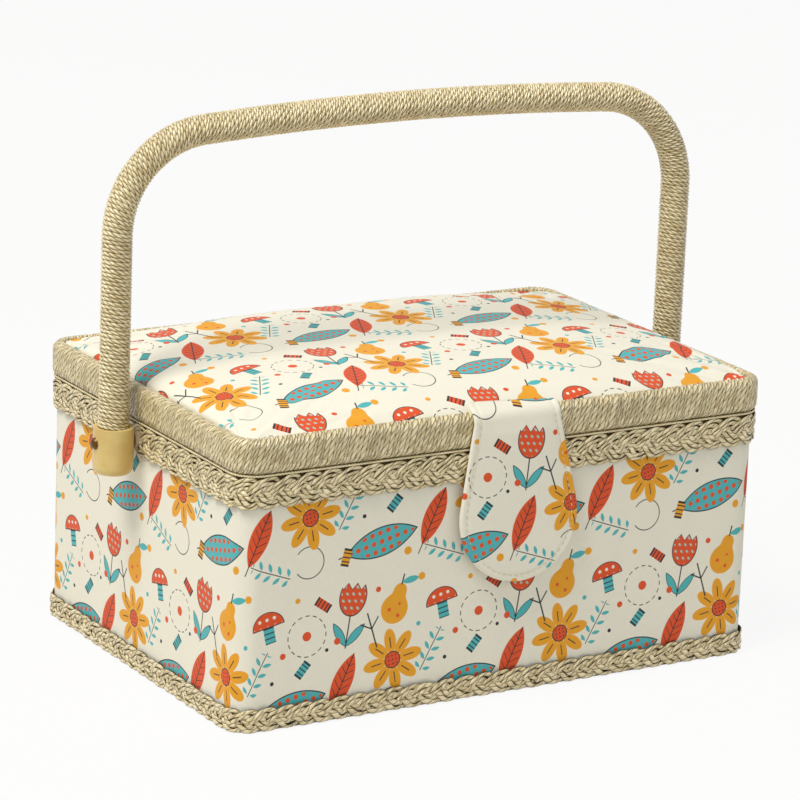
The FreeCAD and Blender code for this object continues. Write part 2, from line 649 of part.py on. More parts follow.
front_sheet = flap_layer("flap_sheet", FLAP_BACK + " + @flap_backing + @flap_card",
                         "@flap_thick - @flap_backing - @flap_card", "0",
                         RIM_TOP + " - @flap_plate_drop")
fold_turn = FreeCAD.Rotation(FreeCAD.Vector(0, -1, 0), FreeCAD.Vector(0, 0, 1),
                             FreeCAD.Vector(-1, 0, 0), "XYZ")
fold_base = ("@flap_top_width / 2", "-(%s)" % FOLD_BACK, FOLD_HEIGHT)
fold_outer = cylinder("fold_outer", fold_base, "@rim_round + @flap_gap + @flap_fold",
                      "@flap_top_width", "-x")
fold_inner = cylinder("fold_inner", fold_base, "@rim_round + @flap_gap", "@flap_top_width", "-x")
for bend in (fold_outer, fold_inner):
    bend.Placement.Rotation = fold_turn
fold_outer.setExpression("Angle", bind("@flap_fold_angle"))
fold_drop = box("fold_drop", ("-@flap_top_width / 2", "-(%s) - @flap_fold" % FLAP_BACK,
                              FOLD_BOTTOM),
                ("@flap_top_width", "@flap_fold", FOLD_HEIGHT + " - " + FOLD_BOTTOM))
keep(fuse("flap_front", [cut("fold_ring", fold_outer, fold_inner), fold_drop, front_sheet]),
     "flap_front")
keep(flap_layer("flap_stiffener", FLAP_BACK + " + @flap_backing", "@flap_card",
                "@flap_card_edge", FOLD_BOTTOM + " - @flap_card_drop"), "flap_stiffener")
keep(flap_layer("flap_backing", FLAP_BACK, "@flap_backing", "0", FOLD_BOTTOM), "flap_backing")
SNAP_HEIGHT = ROUND_HEIGHT + " - @snap_drop"
keep(cylinder("snap_stud", ("0 mm", "-(%s)" % FLAP_BACK, SNAP_HEIGHT), "@stud_radius",
              "@stud_thick", "y"), "snap_stud")
keep(cylinder("snap_socket", ("0 mm", CLOTH_INSET + " - @rim_width / 2", SNAP_HEIGHT),
              "@snap_radius", "@snap_thick", "-y"), "snap_socket")

# Two butt hinges on the back
LEFT_END = "@hinge_offset - @hinge_width / 2"
SIDE_KNUCKLE = "(@hinge_width - @knuckle_length) / 2 - @knuckle_gap"
BRAID_FACE = "@rim_width / 2 - @braid_inset"
AXIS_BACK = "(@rim_width / 2 + @hinge_axis_out)"
AXIS = (AXIS_BACK, "@seam_height")


def pair(name, right):
    """Put a right-hand piece and its mirror image in one node."""
    return keep(group(name, [right, mirror(name + "_left", right)]), name)


def screw_tools(name, face, height, head=None):
    """Make the two screws of one hinge leaf, or only their shanks."""
    pieces = []
    for number, step in enumerate(("-", "+")):
        place = "@hinge_offset %s @hinge_screw_offset" % step
        pieces.append(cylinder("%s_shank_%d" % (name, number), (place, face, height),
                               "@hinge_screw_radius", SCREW_LENGTH, "-y"))
        if head:
            pieces.append(cylinder("%s_head_%d" % (name, number), (place, face, height),
                                   "@hinge_screw_head", "@hinge_screw_head_thick", "y"))
    return pieces


BODY_LEAF_FACE = BRAID_FACE + " + @leaf_thick"
LID_LEAF_FACE = "@rim_width / 2 + @leaf_thick"
BODY_SCREW_HEIGHT = "@seam_height - @hinge_screw_drop"
LID_SCREW_HEIGHT = "@seam_height + @hinge_screw_drop"
SCREW_LENGTH = "@leaf_thick + @braid_thick + @cloth_thick + @hinge_screw_bite"

body_leaf = [box("leaf_low", (LEFT_END, BRAID_FACE, "@seam_height - @leaf_drop"),
                 ("@hinge_width", "@leaf_thick", "@leaf_drop - @leaf_step"))]
for number, start in enumerate((LEFT_END, "@hinge_offset + @knuckle_length / 2 + @knuckle_gap")):
    body_leaf.append(box("leaf_low_web_%d" % number,
                         (start, BRAID_FACE, "@seam_height - @leaf_step - @leaf_thick"),
                         (SIDE_KNUCKLE, "%s - (%s)" % (AXIS_BACK, BRAID_FACE), "@leaf_thick")))
    body_leaf.append(cylinder("knuckle_low_%d" % number, (start,) + AXIS, "@knuckle_radius",
                              SIDE_KNUCKLE, "x"))
pin = cylinder("hinge_pin", (LEFT_END,) + AXIS, "@hinge_pin_radius", "@hinge_width", "x")
low_cuts = fuse("leaf_low_cuts", [pin] + screw_tools("leaf_low_hole", BODY_LEAF_FACE,
                                                     BODY_SCREW_HEIGHT))
pair("hinge_body_leaves", cut("leaf_low_cut", fuse("leaf_low_block", body_leaf), low_cuts))
pair("hinge_pins", pin)

MIDDLE = "@hinge_offset - @knuckle_length / 2"
lid_leaf = [box("leaf_high", (LEFT_END, "@rim_width / 2", "@seam_height + @lid_leaf_step"),
                ("@hinge_width", "@leaf_thick", "@leaf_rise - @lid_leaf_step")),
            box("leaf_high_web", (MIDDLE, "@rim_width / 2", "@seam_height + @hinge_pin_radius"),
                ("@knuckle_length", "@hinge_axis_out", "@lid_leaf_step")),
            cylinder("knuckle_high", (MIDDLE,) + AXIS, "@knuckle_radius", "@knuckle_length", "x")]
turning_bore = cylinder("turning_bore", (LEFT_END,) + AXIS, "@hinge_pin_radius + @running_gap",
                        "@hinge_width", "x")
high_cuts = fuse("leaf_high_cuts", [turning_bore] + screw_tools("leaf_high_hole", LID_LEAF_FACE,
                                                                LID_SCREW_HEIGHT))
pair("hinge_lid_leaves", cut("leaf_high_cut", fuse("leaf_high_block", lid_leaf), high_cuts))

for name, face, height in (("hinge_body_screws", BODY_LEAF_FACE, BODY_SCREW_HEIGHT),
                           ("hinge_lid_screws", LID_LEAF_FACE, LID_SCREW_HEIGHT)):
    loose = screw_tools(name, face, height, head=True)
    right_pair = group(name + "_right", [fuse(name + "_first", loose[:2]),
                                         fuse(name + "_second", loose[2:])])
    pair(name, right_pair)

# Handle: arched core, wound cord and two plastic end caps
LEG_OFFSET = "(@rim_length / 2 + @cap_gap + @ferrule_radius)"
CAP_BOTTOM = "(%s - @ferrule_drop)" % PIVOT_HEIGHT
CAP_TOP = "(%s + @ferrule_rise)" % PIVOT_HEIGHT
LEG_BOTTOM = CAP_BOTTOM + " + @ferrule_floor"


def handle_path(body, name):
    """Draw the centre line of the handle."""
    sketch = new_sketch(body, name, "XZ_Plane", "-@handle_back")
    v = FreeCAD.Vector
    bend, arch = size("handle_bend"), size("bar_radius")
    reach = size("rim_length") / 2 + size("cap_gap") + size("ferrule_radius")
    pivot_z = size("seam_height") - size("wall_gap") - size("pivot_drop")
    low = pivot_z - size("ferrule_drop") + size("ferrule_floor")
    arch_z = pivot_z + size("handle_rise") - arch
    bend_x = reach - bend
    bend_z = arch_z + math.sqrt((arch - bend) ** 2 - bend_x ** 2)
    lean = math.asin(bend_x / (arch - bend))
    up = math.pi / 2
    right_leg = sketch.addGeometry(Part.LineSegment(v(reach, low, 0), v(reach, bend_z, 0)))
    circle = Part.Circle(v(bend_x, bend_z, 0), v(0, 0, 1), bend)
    right_bend = sketch.addGeometry(Part.ArcOfCircle(circle, 0, up - lean))
    circle = Part.Circle(v(0, arch_z, 0), v(0, 0, 1), arch)
    bar = sketch.addGeometry(Part.ArcOfCircle(circle, up - lean, up + lean))
    circle = Part.Circle(v(-bend_x, bend_z, 0), v(0, 0, 1), bend)
    left_bend = sketch.addGeometry(Part.ArcOfCircle(circle, up + lean, math.pi))
    left_leg = sketch.addGeometry(Part.LineSegment(v(-reach, bend_z, 0), v(-reach, low, 0)))
    sketch.addConstraint(Sketcher.Constraint("Tangent", right_leg, 2, right_bend, 1))
    sketch.addConstraint(Sketcher.Constraint("Tangent", right_bend, 2, bar, 1))
    sketch.addConstraint(Sketcher.Constraint("Tangent", bar, 2, left_bend, 1))
    sketch.addConstraint(Sketcher.Constraint("Tangent", left_bend, 2, left_leg, 1))
    sketch.addConstraint(Sketcher.Constraint("Vertical", right_leg))
    sketch.addConstraint(Sketcher.Constraint("Vertical", left_leg))
    sketch.addConstraint(Sketcher.Constraint("Equal", right_bend, left_bend))
    sketch.addConstraint(Sketcher.Constraint("PointOnObject", bar, 3, -2))
    sketch.addConstraint(Sketcher.Constraint("Symmetric", right_leg, 1, left_leg, 2, -2))
    limit(sketch, Sketcher.Constraint("Radius", right_bend, bend), "@handle_bend")
    limit(sketch, Sketcher.Constraint("Radius", bar, arch), "@bar_radius")
    limit(sketch, Sketcher.Constraint("DistanceX", -1, 1, right_leg, 1, reach), LEG_OFFSET)
    limit(sketch, Sketcher.Constraint("DistanceY", -1, 1, right_leg, 1, low), LEG_BOTTOM)
    limit(sketch, Sketcher.Constraint("DistanceY", bar, 3, -1, 1, -arch_z),
          "@bar_radius - @handle_rise - " + PIVOT_HEIGHT)
    return sketch


def handle_sweep(name, radii):
    """Sweep a round section along the handle's centre line."""
    body = new_body(name)
    path = handle_path(body, name + "_path")
    section = new_sketch(body, name + "_section", "XY_Plane", LEG_BOTTOM)
    for radius in radii:
        circle_at(section, LEG_OFFSET, "@handle_back", radius)
    doc.recompute()
    sweep = body.newObject("PartDesign::AdditivePipe", "Sweep")
    sweep.Profile = section
    sweep.Spine = (path, ["Edge%d" % number for number in range(1, 6)])
    section.Visibility = False
    path.Visibility = False
    body.Tip = sweep
    pivot_holes(body, "@pin_radius + @running_gap")
    return body


keep(handle_sweep("handle_core", ("@core_radius",)), "handle_core")
keep(handle_sweep("handle_wrap", ("@wrap_radius", "@core_radius")), "handle_wrap")

ferrule = new_body("ferrule_right")
cap_plan = new_sketch(ferrule, "cap_plan", "XY_Plane", CAP_BOTTOM)
circle_at(cap_plan, LEG_OFFSET, "@handle_back", "@ferrule_radius")
pad(ferrule, cap_plan, "@ferrule_drop + @ferrule_rise")
round_lower_edges(ferrule, "@ferrule_round")
cap_bore = new_sketch(ferrule, "cap_bore", "XY_Plane", CAP_TOP)
circle_at(cap_bore, LEG_OFFSET, "@handle_back", "@wrap_radius + @wrap_gap")
pocket(ferrule, cap_bore, "@ferrule_drop + @ferrule_rise - @ferrule_floor")
pivot_holes(ferrule, "@pin_radius + @running_gap")
keep(ferrule, "ferrule_right")
keep(mirror("ferrule_left", ferrule), "ferrule_left")

# Pivot screws, spacers and the caps inside the box
CLOTH_FACE = "(@rim_length / 2 - %s)" % CLOTH_INSET
LINING_FACE = "(@rim_length / 2 - %s)" % LINING_INNER
CAP_FACE = "(%s + @ferrule_radius)" % LEG_OFFSET
PIVOT = ("@handle_back", PIVOT_HEIGHT)
shank = cylinder("pivot_shank", (LINING_FACE + " - @nut_height + @nut_end",) + PIVOT, "@pin_radius",
                 CAP_FACE + " - %s + @nut_height - @nut_end" % LINING_FACE, "x")
head_block = cylinder("pivot_head_block", (CAP_FACE,) + PIVOT, "@screw_head_radius",
                      "2 * @screw_head_height", "x")
ball = doc.addObject("Part::Sphere", "pivot_head_ball")
HEAD_BALL = "(pow(@screw_head_radius; 2) + pow(@screw_head_height; 2)) / (2 * @screw_head_height)"
ball.setExpression("Radius", bind(HEAD_BALL))
ball.setExpression("Placement.Base.x", bind(CAP_FACE + " + @screw_head_height - " + HEAD_BALL))
ball.setExpression("Placement.Base.y", bind("@handle_back"))
ball.setExpression("Placement.Base.z", bind(PIVOT_HEIGHT))
head = doc.addObject("Part::Common", "pivot_head")
head.Base = head_block
head.Tool = ball
pair("pivot_screws", fuse("pivot_screw", [shank, head]))

nut_block = cylinder("nut_block", (LINING_FACE + " - @nut_height",) + PIVOT, "@nut_radius",
                     "@nut_height", "x")
pair("pivot_nuts", cut("pivot_nut", nut_block, shank))

SPACER_LENGTH = "%s + @cap_gap - @spacer_gap" % CLOTH_INSET
spacer_block = cylinder("spacer_block", (CLOTH_FACE,) + PIVOT, "@spacer_radius", SPACER_LENGTH, "x")
spacer_bore = cylinder("spacer_bore", (CLOTH_FACE,) + PIVOT, "@pin_radius + @running_gap",
                       SPACER_LENGTH, "x")
pair("pivot_spacers", cut("pivot_spacer", spacer_block, spacer_bore))

# Check every piece and write it
doc.recompute()
for item in doc.Objects:
    if "Invalid" in item.State or "Error" in item.State:
        raise ValueError("%s isn't valid: %s" % (item.Name, item.State))
os.makedirs("parts", exist_ok=True)
for name, feature in parts:
    shape = feature.Shape
    if shape.isNull() or not shape.isValid() or shape.Volume <= 0:
        raise ValueError("%s has no valid shape" % name)
    shape.exportStep("parts/%s.step" % name)
    limits = shape.optimalBoundingBox()
    print("%-18s solids %d volume %9.1f  x %.2f %.2f  y %.2f %.2f  z %.2f %.2f" % (
        name, len(shape.Solids), shape.Volume, limits.XMin, limits.XMax, limits.YMin, limits.YMax,
        limits.ZMin, limits.ZMax))
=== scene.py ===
import logging
import math
from contextlib import contextmanager
from dataclasses import dataclass
from enum import Enum
from typing import Iterator, Optional, Union

import bmesh
import bpy
import numpy as np
from mathutils import Matrix, Vector


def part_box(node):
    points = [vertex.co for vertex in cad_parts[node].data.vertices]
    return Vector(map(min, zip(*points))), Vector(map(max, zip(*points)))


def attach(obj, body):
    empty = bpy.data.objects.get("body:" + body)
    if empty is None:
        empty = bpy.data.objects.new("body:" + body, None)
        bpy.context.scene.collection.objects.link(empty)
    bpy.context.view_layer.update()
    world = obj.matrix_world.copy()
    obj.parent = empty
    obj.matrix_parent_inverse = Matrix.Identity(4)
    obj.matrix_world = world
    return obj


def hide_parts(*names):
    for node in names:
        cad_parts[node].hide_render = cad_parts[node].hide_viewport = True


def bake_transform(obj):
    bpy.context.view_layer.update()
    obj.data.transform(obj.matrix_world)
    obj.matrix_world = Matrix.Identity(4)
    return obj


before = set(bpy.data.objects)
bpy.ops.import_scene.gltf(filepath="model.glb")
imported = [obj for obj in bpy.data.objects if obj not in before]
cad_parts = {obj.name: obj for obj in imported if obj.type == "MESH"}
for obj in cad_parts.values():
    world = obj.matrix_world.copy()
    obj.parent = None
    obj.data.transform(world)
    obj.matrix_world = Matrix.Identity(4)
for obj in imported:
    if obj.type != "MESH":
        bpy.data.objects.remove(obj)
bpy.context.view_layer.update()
LOG = logging.getLogger("sewing_box")

MM = 0.001
TURN = 2 * math.pi
PRINT_THICK = 0.7 * MM


class Slot(Enum):
    """Finishes that the record names."""

    PRINT = "print_cloth"
    STRAW = "straw"
    SATIN = "satin"
    LEDGE = "satin_ledge"
    CUSHION = "cushion_cloth"
    WADDING = "wadding"
    PAPER = "cover_paper"
    BOARD = "board"
    WOOD = "core_wood"
    TRAY = "tray_plastic"
    CAP = "cap_plastic"
    SPACER = "spacer_plastic"
    BRONZE = "bronze"
    BRASS = "hinge_brass"
    SNAP = "snap_metal"


class Body(Enum):
    """Bodies that pieces ride on."""

    BOX = "box"
    LID = "lid"
    HANDLE = "handle"


def linear(tone: str) -> tuple[float, float, float, float]:
    """Turn a six-digit screen tone into a shader colour.

    Args:
        tone: red, green and blue as hexadecimal digits.

    Returns:
        The colour in linear light, with full opacity.
    """
    values = [int(tone[start:start + 2], 16) / 255 for start in (0, 2, 4)]
    light = [v / 12.92 if v <= 0.04045 else ((v + 0.055) / 1.055) ** 2.4 for v in values]
    return (*light, 1.0)


class Field:
    """A number, vector, colour or shader that nodes work out at each point."""

    def __init__(self, graph: "Graph", socket: bpy.types.NodeSocket) -> None:
        """Keep the graph and the socket that gives the value."""
        self.graph = graph
        self.socket = socket

    def __add__(self, other: "Value") -> "Field":
        """Add."""
        return self.graph.math("ADD", self, other)

    def __sub__(self, other: "Value") -> "Field":
        """Take away."""
        return self.graph.math("SUBTRACT", self, other)

    def __rsub__(self, other: "Value") -> "Field":
        """Take this from a number."""
        return self.graph.math("SUBTRACT", other, self)

    def __mul__(self, other: "Value") -> "Field":
        """Multiply."""
        return self.graph.math("MULTIPLY", self, other)

    def __abs__(self) -> "Field":
        """Drop the sign."""
        return self.graph.math("ABSOLUTE", self)

    def over(self, other: "Value") -> "Field":
        """Take the larger value: where both shapes are."""
        return self.graph.math("MAXIMUM", self, other)

    def under(self, other: "Value") -> "Field":
        """Take the smaller value: where either shape is."""
        return self.graph.math("MINIMUM", self, other)

    def wrapped(self, half: float) -> "Field":
        """Repeat between minus half and plus half."""
        return self.graph.math("WRAP", self, half, -half)


Value = Union[Field, float, tuple]


class Graph:
    """Builds the nodes of one material, or of the surround."""

    def __init__(self, name: str, surround: bool = False) -> None:
        """Start a material, or a surround, with only its output.

        Args:
            name: its name.
            surround: whether it is what lies round the object.
        """
        self.owner = (bpy.data.worlds if surround else bpy.data.materials).new(name)
        self.owner.use_nodes = True
        self.tree = self.owner.node_tree
        self.tree.nodes.clear()
        kind = "World" if surround else "Material"
        self.output = self.tree.nodes.new(f"ShaderNodeOutput{kind}")

    def feed(self, socket: bpy.types.NodeSocket, value: Value) -> None:
        """Link a field to a socket, or set a plain value on it."""
        if isinstance(value, Field):
            self.tree.links.new(value.socket, socket)
        else:
            socket.default_value = value

    def node(self, kind: str, inputs: Optional[dict] = None, **settings) -> bpy.types.Node:
        """Add a node.

        Args:
            kind: type of the node.
            inputs: values or fields for its inputs, by name or number.
            settings: properties of the node.

        Returns:
            The node.
        """
        made = self.tree.nodes.new(kind)
        for key, value in settings.items():
            setattr(made, key, value)
        for key, value in (inputs or {}).items():
            self.feed(made.inputs[key], value)
        return made

    def math(self, operation: str, *values: Value, clamp: bool = False) -> Field:
        """Work out a number from up to three numbers."""
        made = self.node("ShaderNodeMath", operation=operation, use_clamp=clamp)
        for socket, value in zip(made.inputs, values):
            self.feed(socket, value)
        return Field(self, made.outputs[0])

    def vector(self, operation: str, *values: Value) -> Field:
        """Work out a vector, or the length of one."""
        made = self.node("ShaderNodeVectorMath", operation=operation)
        for socket, value in zip(made.inputs, values):
            self.feed(socket, value)
        number = operation in ("LENGTH", "DISTANCE", "DOT_PRODUCT")
        return Field(self, made.outputs["Value" if number else "Vector"])

    def split(self, point: Field) -> tuple[Field, Field]:
        """Give the first two parts of a vector."""
        made = self.node("ShaderNodeSeparateXYZ", {0: point})
        return Field(self, made.outputs[0]), Field(self, made.outputs[1])

    def join(self, x: Value, y: Value) -> Field:
        """Make a flat vector from two numbers."""
        return Field(self, self.node("ShaderNodeCombineXYZ", {0: x, 1: y}).outputs[0])

    def scaled(self, point: Field, x: float, y: float, z: float = 1.0) -> Field:
        """Stretch a vector."""
        return self.vector("MULTIPLY", point, (x, y, z))

    def turned(self, point: Field, degrees: float) -> Field:
        """Turn a vector clockwise."""
        inputs = {"Vector": point, "Angle": -math.radians(degrees)}
        made = self.node("ShaderNodeVectorRotate", inputs, rotation_type="Z_AXIS")
        return Field(self, made.outputs[0])

    def mix(self, share: Value, first: Value, second: Value) -> Field:
        """Blend two colours."""
        made = self.node("ShaderNodeMix", data_type="RGBA")
        self.feed(made.inputs["Factor"], share)
        self.feed(made.inputs[6], first)
        self.feed(made.inputs[7], second)
        return Field(self, made.outputs[2])

    def noise(self, point: Field, scale: float, detail: float = 2.0,
              rough: float = 0.5) -> Field:
        """Read cloudy noise between 0 and 1."""
        made = self.node("ShaderNodeTexNoise", {"Vector": point, "Scale": scale,
                                                "Detail": detail, "Roughness": rough})
        return Field(self, made.outputs[0])

    def mark(self, name: str) -> Field:
        """Read a number stored on the mesh."""
        return Field(self, self.node("ShaderNodeAttribute", attribute_name=name).outputs["Fac"])

    def place(self) -> Field:
        """Read the place on the object."""
        return Field(self, self.node("ShaderNodeTexCoord").outputs["Object"])

    def cloth_place(self) -> Field:
        """Read the place on the cloth or along the strand, in metres."""
        return Field(self, self.node("ShaderNodeUVMap", uv_map="UVMap").outputs[0])

    def seen(self) -> Field:
        """Tell whether the eye follows a ray: straight, mirrored or through."""
        path = self.node("ShaderNodeLightPath")
        straight, mirrored, through = (Field(self, path.outputs[f"Is {kind} Ray"])
                                       for kind in ("Camera", "Glossy", "Transmission"))
        return straight.over(mirrored).over(through)

    def bump(self, height: Field, depth: float, below: Optional[Field] = None) -> Field:
        """Turn a height between 0 and 1 into a normal.

        Args:
            height: the height.
            depth: metres between the lowest and highest.
            below: a normal to add to.

        Returns:
            The new normal.
        """
        inputs = {"Height": height, "Distance": depth, "Strength": 1.0}
        if below is not None:
            inputs["Normal"] = below
        return Field(self, self.node("ShaderNodeBump", inputs).outputs[0])

    def close(self, shader: bpy.types.Node) -> Union[bpy.types.Material, bpy.types.World]:
        """Link the last shader to the output, and hand out what was built."""
        self.tree.links.new(shader.outputs[0], self.output.inputs[0])
        return self.owner

    def finish(self, colour: Value, rough: Value, normal: Optional[Field] = None,
               **others: Value) -> bpy.types.Material:
        """Close the material with one main shader.

        Args:
            colour: its colour.
            rough: its roughness.
            normal: its bumped normal.
            others: values for other inputs, spaces in their names as underscores.

        Returns:
            The material.
        """
        inputs = {"Base Color": colour, "Roughness": rough}
        if normal is not None:
            inputs["Normal"] = normal
        inputs.update({key.replace("_", " "): value for key, value in others.items()})
        return self.close(self.node("ShaderNodeBsdfPrincipled", inputs))


@dataclass(frozen=True)
class Inks:
    """Colours of the print."""

    ground: tuple = linear("EFECDC")
    orange: tuple = linear("E0562B")
    mustard: tuple = linear("EBA52B")
    teal: tuple = linear("52B7BD")
    pale: tuple = linear("A9CDBF")
    dark: tuple = linear("2E3438")


class GardenPrint:
    """Garden motifs on a half-drop lattice, drawn as distances in millimetres."""

    WIDTH = 104.0
    HEIGHT = 84.0
    SPREAD = 0.92
    SIZE = 0.86
    EDGE = 0.3

    def __init__(self, graph: Graph, inks: Inks) -> None:
        """Start with the bare ground."""
        self.graph = graph
        self.inks = inks
        units = 1 / (MM * self.SPREAD)
        self.point = graph.scaled(graph.cloth_place(), units, units)
        self.colour: Value = inks.ground

    def at(self, x: float, y: float, turn: float = 0.0) -> Field:
        """Give the place relative to the nearest copy of a motif.

        Args:
            x: its middle along the cloth.
            y: its middle up the cloth.
            turn: its turn in degrees, anticlockwise.

        Returns:
            The place as a vector.
        """
        graph = self.graph
        away = graph.vector("SUBTRACT", self.point, (x, y, 0.0))
        row = graph.math("ROUND", graph.split(away)[1] * (1 / self.HEIGHT))
        drop = graph.vector("MULTIPLY", graph.join(row, row), (self.WIDTH / 2, self.HEIGHT, 0.0))
        near = graph.vector("SUBTRACT", away, drop)
        limits = (self.WIDTH / 2, self.HEIGHT, 1.0)
        near = graph.vector("WRAP", near, limits, tuple(-value for value in limits))
        near = graph.scaled(near, 1 / self.SIZE, 1 / self.SIZE)
        return graph.turned(near, turn) if turn else near

    def paint(self, shape: Field, ink: Optional[tuple] = None) -> None:
        """Print an ink, or else the dark one, where a distance is below zero."""
        cover = self.graph.math("MULTIPLY_ADD", shape, -1 / self.EDGE, 0.5, clamp=True)
        self.colour = self.graph.mix(cover, self.colour, ink or self.inks.dark)

    def outline(self, shape: Field, half: float = 0.4) -> None:
        """Print a thin dark line where a distance is zero."""
        self.paint(abs(shape) - half)

    def disc(self, point: Field, x: float, y: float, radius: float) -> Field:
        """Distance to a disc: distance to its middle less its radius."""
        return self.graph.vector("DISTANCE", point, (x, y, 0.0)) - radius

    def pod(self, point: Field, half_length: float, half_width: float) -> Field:
        """Distance to a pointed leaf along X: where two large discs overlap."""
        radius = (half_length ** 2 + half_width ** 2) / (2 * half_width)
        shift = radius - half_width
        return self.disc(point, 0, shift, radius).over(self.disc(point, 0, -shift, radius))

    def bar(self, point: Field, x: float, y: float, half_x: float, half_y: float) -> Field:
        """Distance to an upright block: the larger of its two overshoots."""
        across, up = self.graph.split(point)
        return (abs(across - x) - half_x).over(abs(up - y) - half_y)

    def dots(self, point: Field, pitch: float, radius: float) -> Field:
        """Distance to a square lattice of dots: wrap the place, then a disc."""
        half = pitch / 2
        near = self.graph.vector("WRAP", point, (half, half, 9.0), (-half, -half, -9.0))
        return self.disc(near, 0, 0, radius)

    def sectors(self, point: Field, count: int) -> tuple[Field, Field]:
        """Fold a place into one of equal sectors, giving radius and angle."""
        x, y = self.graph.split(point)
        angle = self.graph.math("ARCTAN2", y, x).wrapped(math.pi / count)
        return self.graph.vector("LENGTH", point), angle

    def daisy(self, place: Field, petal: tuple, heart: tuple) -> None:
        """Eight round petals about a heart."""
        graph = self.graph
        radius, angle = self.sectors(place, 8)
        along = radius * graph.math("COSINE", angle)
        across = radius * graph.math("SINE", angle)
        leaf = graph.vector("LENGTH", graph.join((along - 12.5) * (1 / 8.0), across * (1 / 4.1)))
        shape = (leaf - 1.0) * 4.1
        self.paint(shape, petal)
        self.paint((abs(across) - 0.35).over(abs(radius - 11.5) - 3.5))
        self.paint(radius - 5.6)
        self.paint(radius - 4.9, heart)
        self.paint(self.dots(place, 2.6, 0.5).over(radius - 4.0))

    def tulip(self, place: Field, cup: tuple, leaf: tuple) -> None:
        """A dotted cup with a notched brim on a stem with two leaves."""
        graph = self.graph
        across, up = graph.split(place)
        self.paint((abs(across) - 0.45).over(abs(up + 14.0) - 11.5))
        mirrored = graph.join(abs(across) - 5.5, up + 17.0)
        blade = self.pod(graph.turned(mirrored, 52), 9.0, 2.6)
        self.paint(blade, leaf)
        self.outline(blade, 0.25)
        body = graph.vector("LENGTH", graph.join(across * (1 / 9.5), (up - 7.0) * (1 / 12.0)))
        brim = up - 11.5 - graph.math("PINGPONG", across + 27.0, 3.2) * 1.3
        shape = ((body - 1.0) * 9.5).over(brim)
        self.paint(shape, cup)
        self.paint(self.dots(graph.join(across + up * 0.5, up), 4.4, 0.95).over(shape + 0.8),
                   self.inks.pale)
        self.outline(shape, 0.3)

    def dotted_leaf(self, place: Field, fill: tuple, dot: tuple) -> None:
        """A long leaf with dots in two rows."""
        shape = self.pod(place, 25.0, 9.0)
        self.paint(shape, fill)
        self.paint(self.dots(place, 5.6, 1.6).over(shape + 1.0), dot)
        self.outline(shape)
        self.paint(self.bar(place, -26.0, 0, 5.0, 0.4))

    def veined_leaf(self, place: Field, fill: tuple) -> None:
        """A plain leaf with slanting veins."""
        along, across = self.graph.split(place)
        shape = self.pod(place, 19.0, 7.0)
        self.paint(shape, fill)
        vein = abs((along - abs(across) * 0.9).wrapped(2.6)) - 0.3
        self.paint(vein.over(shape + 1.2))
        self.paint((abs(across) - 0.35).over(abs(along + 3.0) - 22.0))

    def toadstool(self, place: Field) -> None:
        """A half round cap with pale dots on a banded foot."""
        up = self.graph.split(place)[1]
        foot = self.bar(place, 0, -5.0, 3.6, 5.4)
        self.paint(foot, self.inks.teal)
        self.paint((abs((up + 7.0).wrapped(1.6)) - 0.4).over(foot))
        cap = self.disc(self.graph.scaled(place, 1.0, 1.15), 0, 0, 11.0).over(up * -1.0)
        self.paint(cap, self.inks.orange)
        self.paint(self.dots(place, 5.0, 1.1).over(cap + 0.8), self.inks.ground)
        self.outline(cap, 0.3)

    def pear(self, place: Field) -> None:
        """Two joined discs with a stalk and a leaf."""
        graph = self.graph
        shape = graph.math("SMOOTH_MIN", self.disc(place, 0, 0, 9.5),
                           self.disc(place, 1.0, 12.0, 4.5), 7.0)
        self.paint(shape, self.inks.mustard)
        self.paint(self.disc(place, -3.5, -1.0, 1.2).under(self.disc(place, 2.8, 3.6, 0.9)).under(
            self.disc(place, 3.6, -3.8, 1.2)), self.inks.orange)
        self.paint(self.bar(place, 1.0, 19.0, 0.5, 3.4))
        blade = graph.turned(graph.vector("SUBTRACT", place, (6.5, 19.5, 0.0)), 24)
        self.paint(self.pod(blade, 6.0, 2.2), self.inks.teal)

    def sprig(self, place: Field, leaf: tuple) -> None:
        """A thin stem with pairs of small leaves, repeated along it."""
        graph = self.graph
        along, across = graph.split(place)
        self.paint((abs(across) - 0.3).over(abs(along) - 15.0))
        pair = graph.join(along.wrapped(3.4) - 1.0, abs(across) - 3.4)
        self.paint(self.pod(graph.turned(pair, 55), 3.1, 1.2).over(abs(along) - 13.6), leaf)

    def hoop(self, x: float, y: float, radius: float, dashed: bool) -> None:
        """A thin ring, dashed or open at one side."""
        place = self.at(x, y)
        reach, angle = self.sectors(place, 16 if dashed else 1)
        line = abs(reach - radius) - 0.32
        gap = 0.11 if dashed else 2.5
        self.paint(line.over((abs(angle) - gap) * radius))

    def bean(self, place: Field, fill: tuple) -> None:
        """A short striped capsule with dark ends."""
        along = self.graph.split(place)[0]
        shape = self.bar(place, 0, 0, 5.6, 2.9)
        self.paint(shape, fill)
        stripes = (abs(along.wrapped(1.35)) - 0.4).over(abs(along) - 3.2)
        self.paint(stripes.under(abs(abs(along) - 5.2) - 1.0).over(shape))

    def twig(self, place: Field) -> None:
        """A bare twig: a stem with a pair of side shoots."""
        across, up = self.graph.split(place)
        self.paint((abs(across) - 0.5).over(abs(up) - 12.0))
        shoot = abs(up - abs(across) * 0.9 - 1.0) - 0.6
        self.paint(shoot.over(abs(across) - 6.5))

    def dot(self, x: float, y: float, radius: float, ink: tuple) -> None:
        """A single dot."""
        self.paint(self.disc(self.at(x, y), 0, 0, radius), ink)

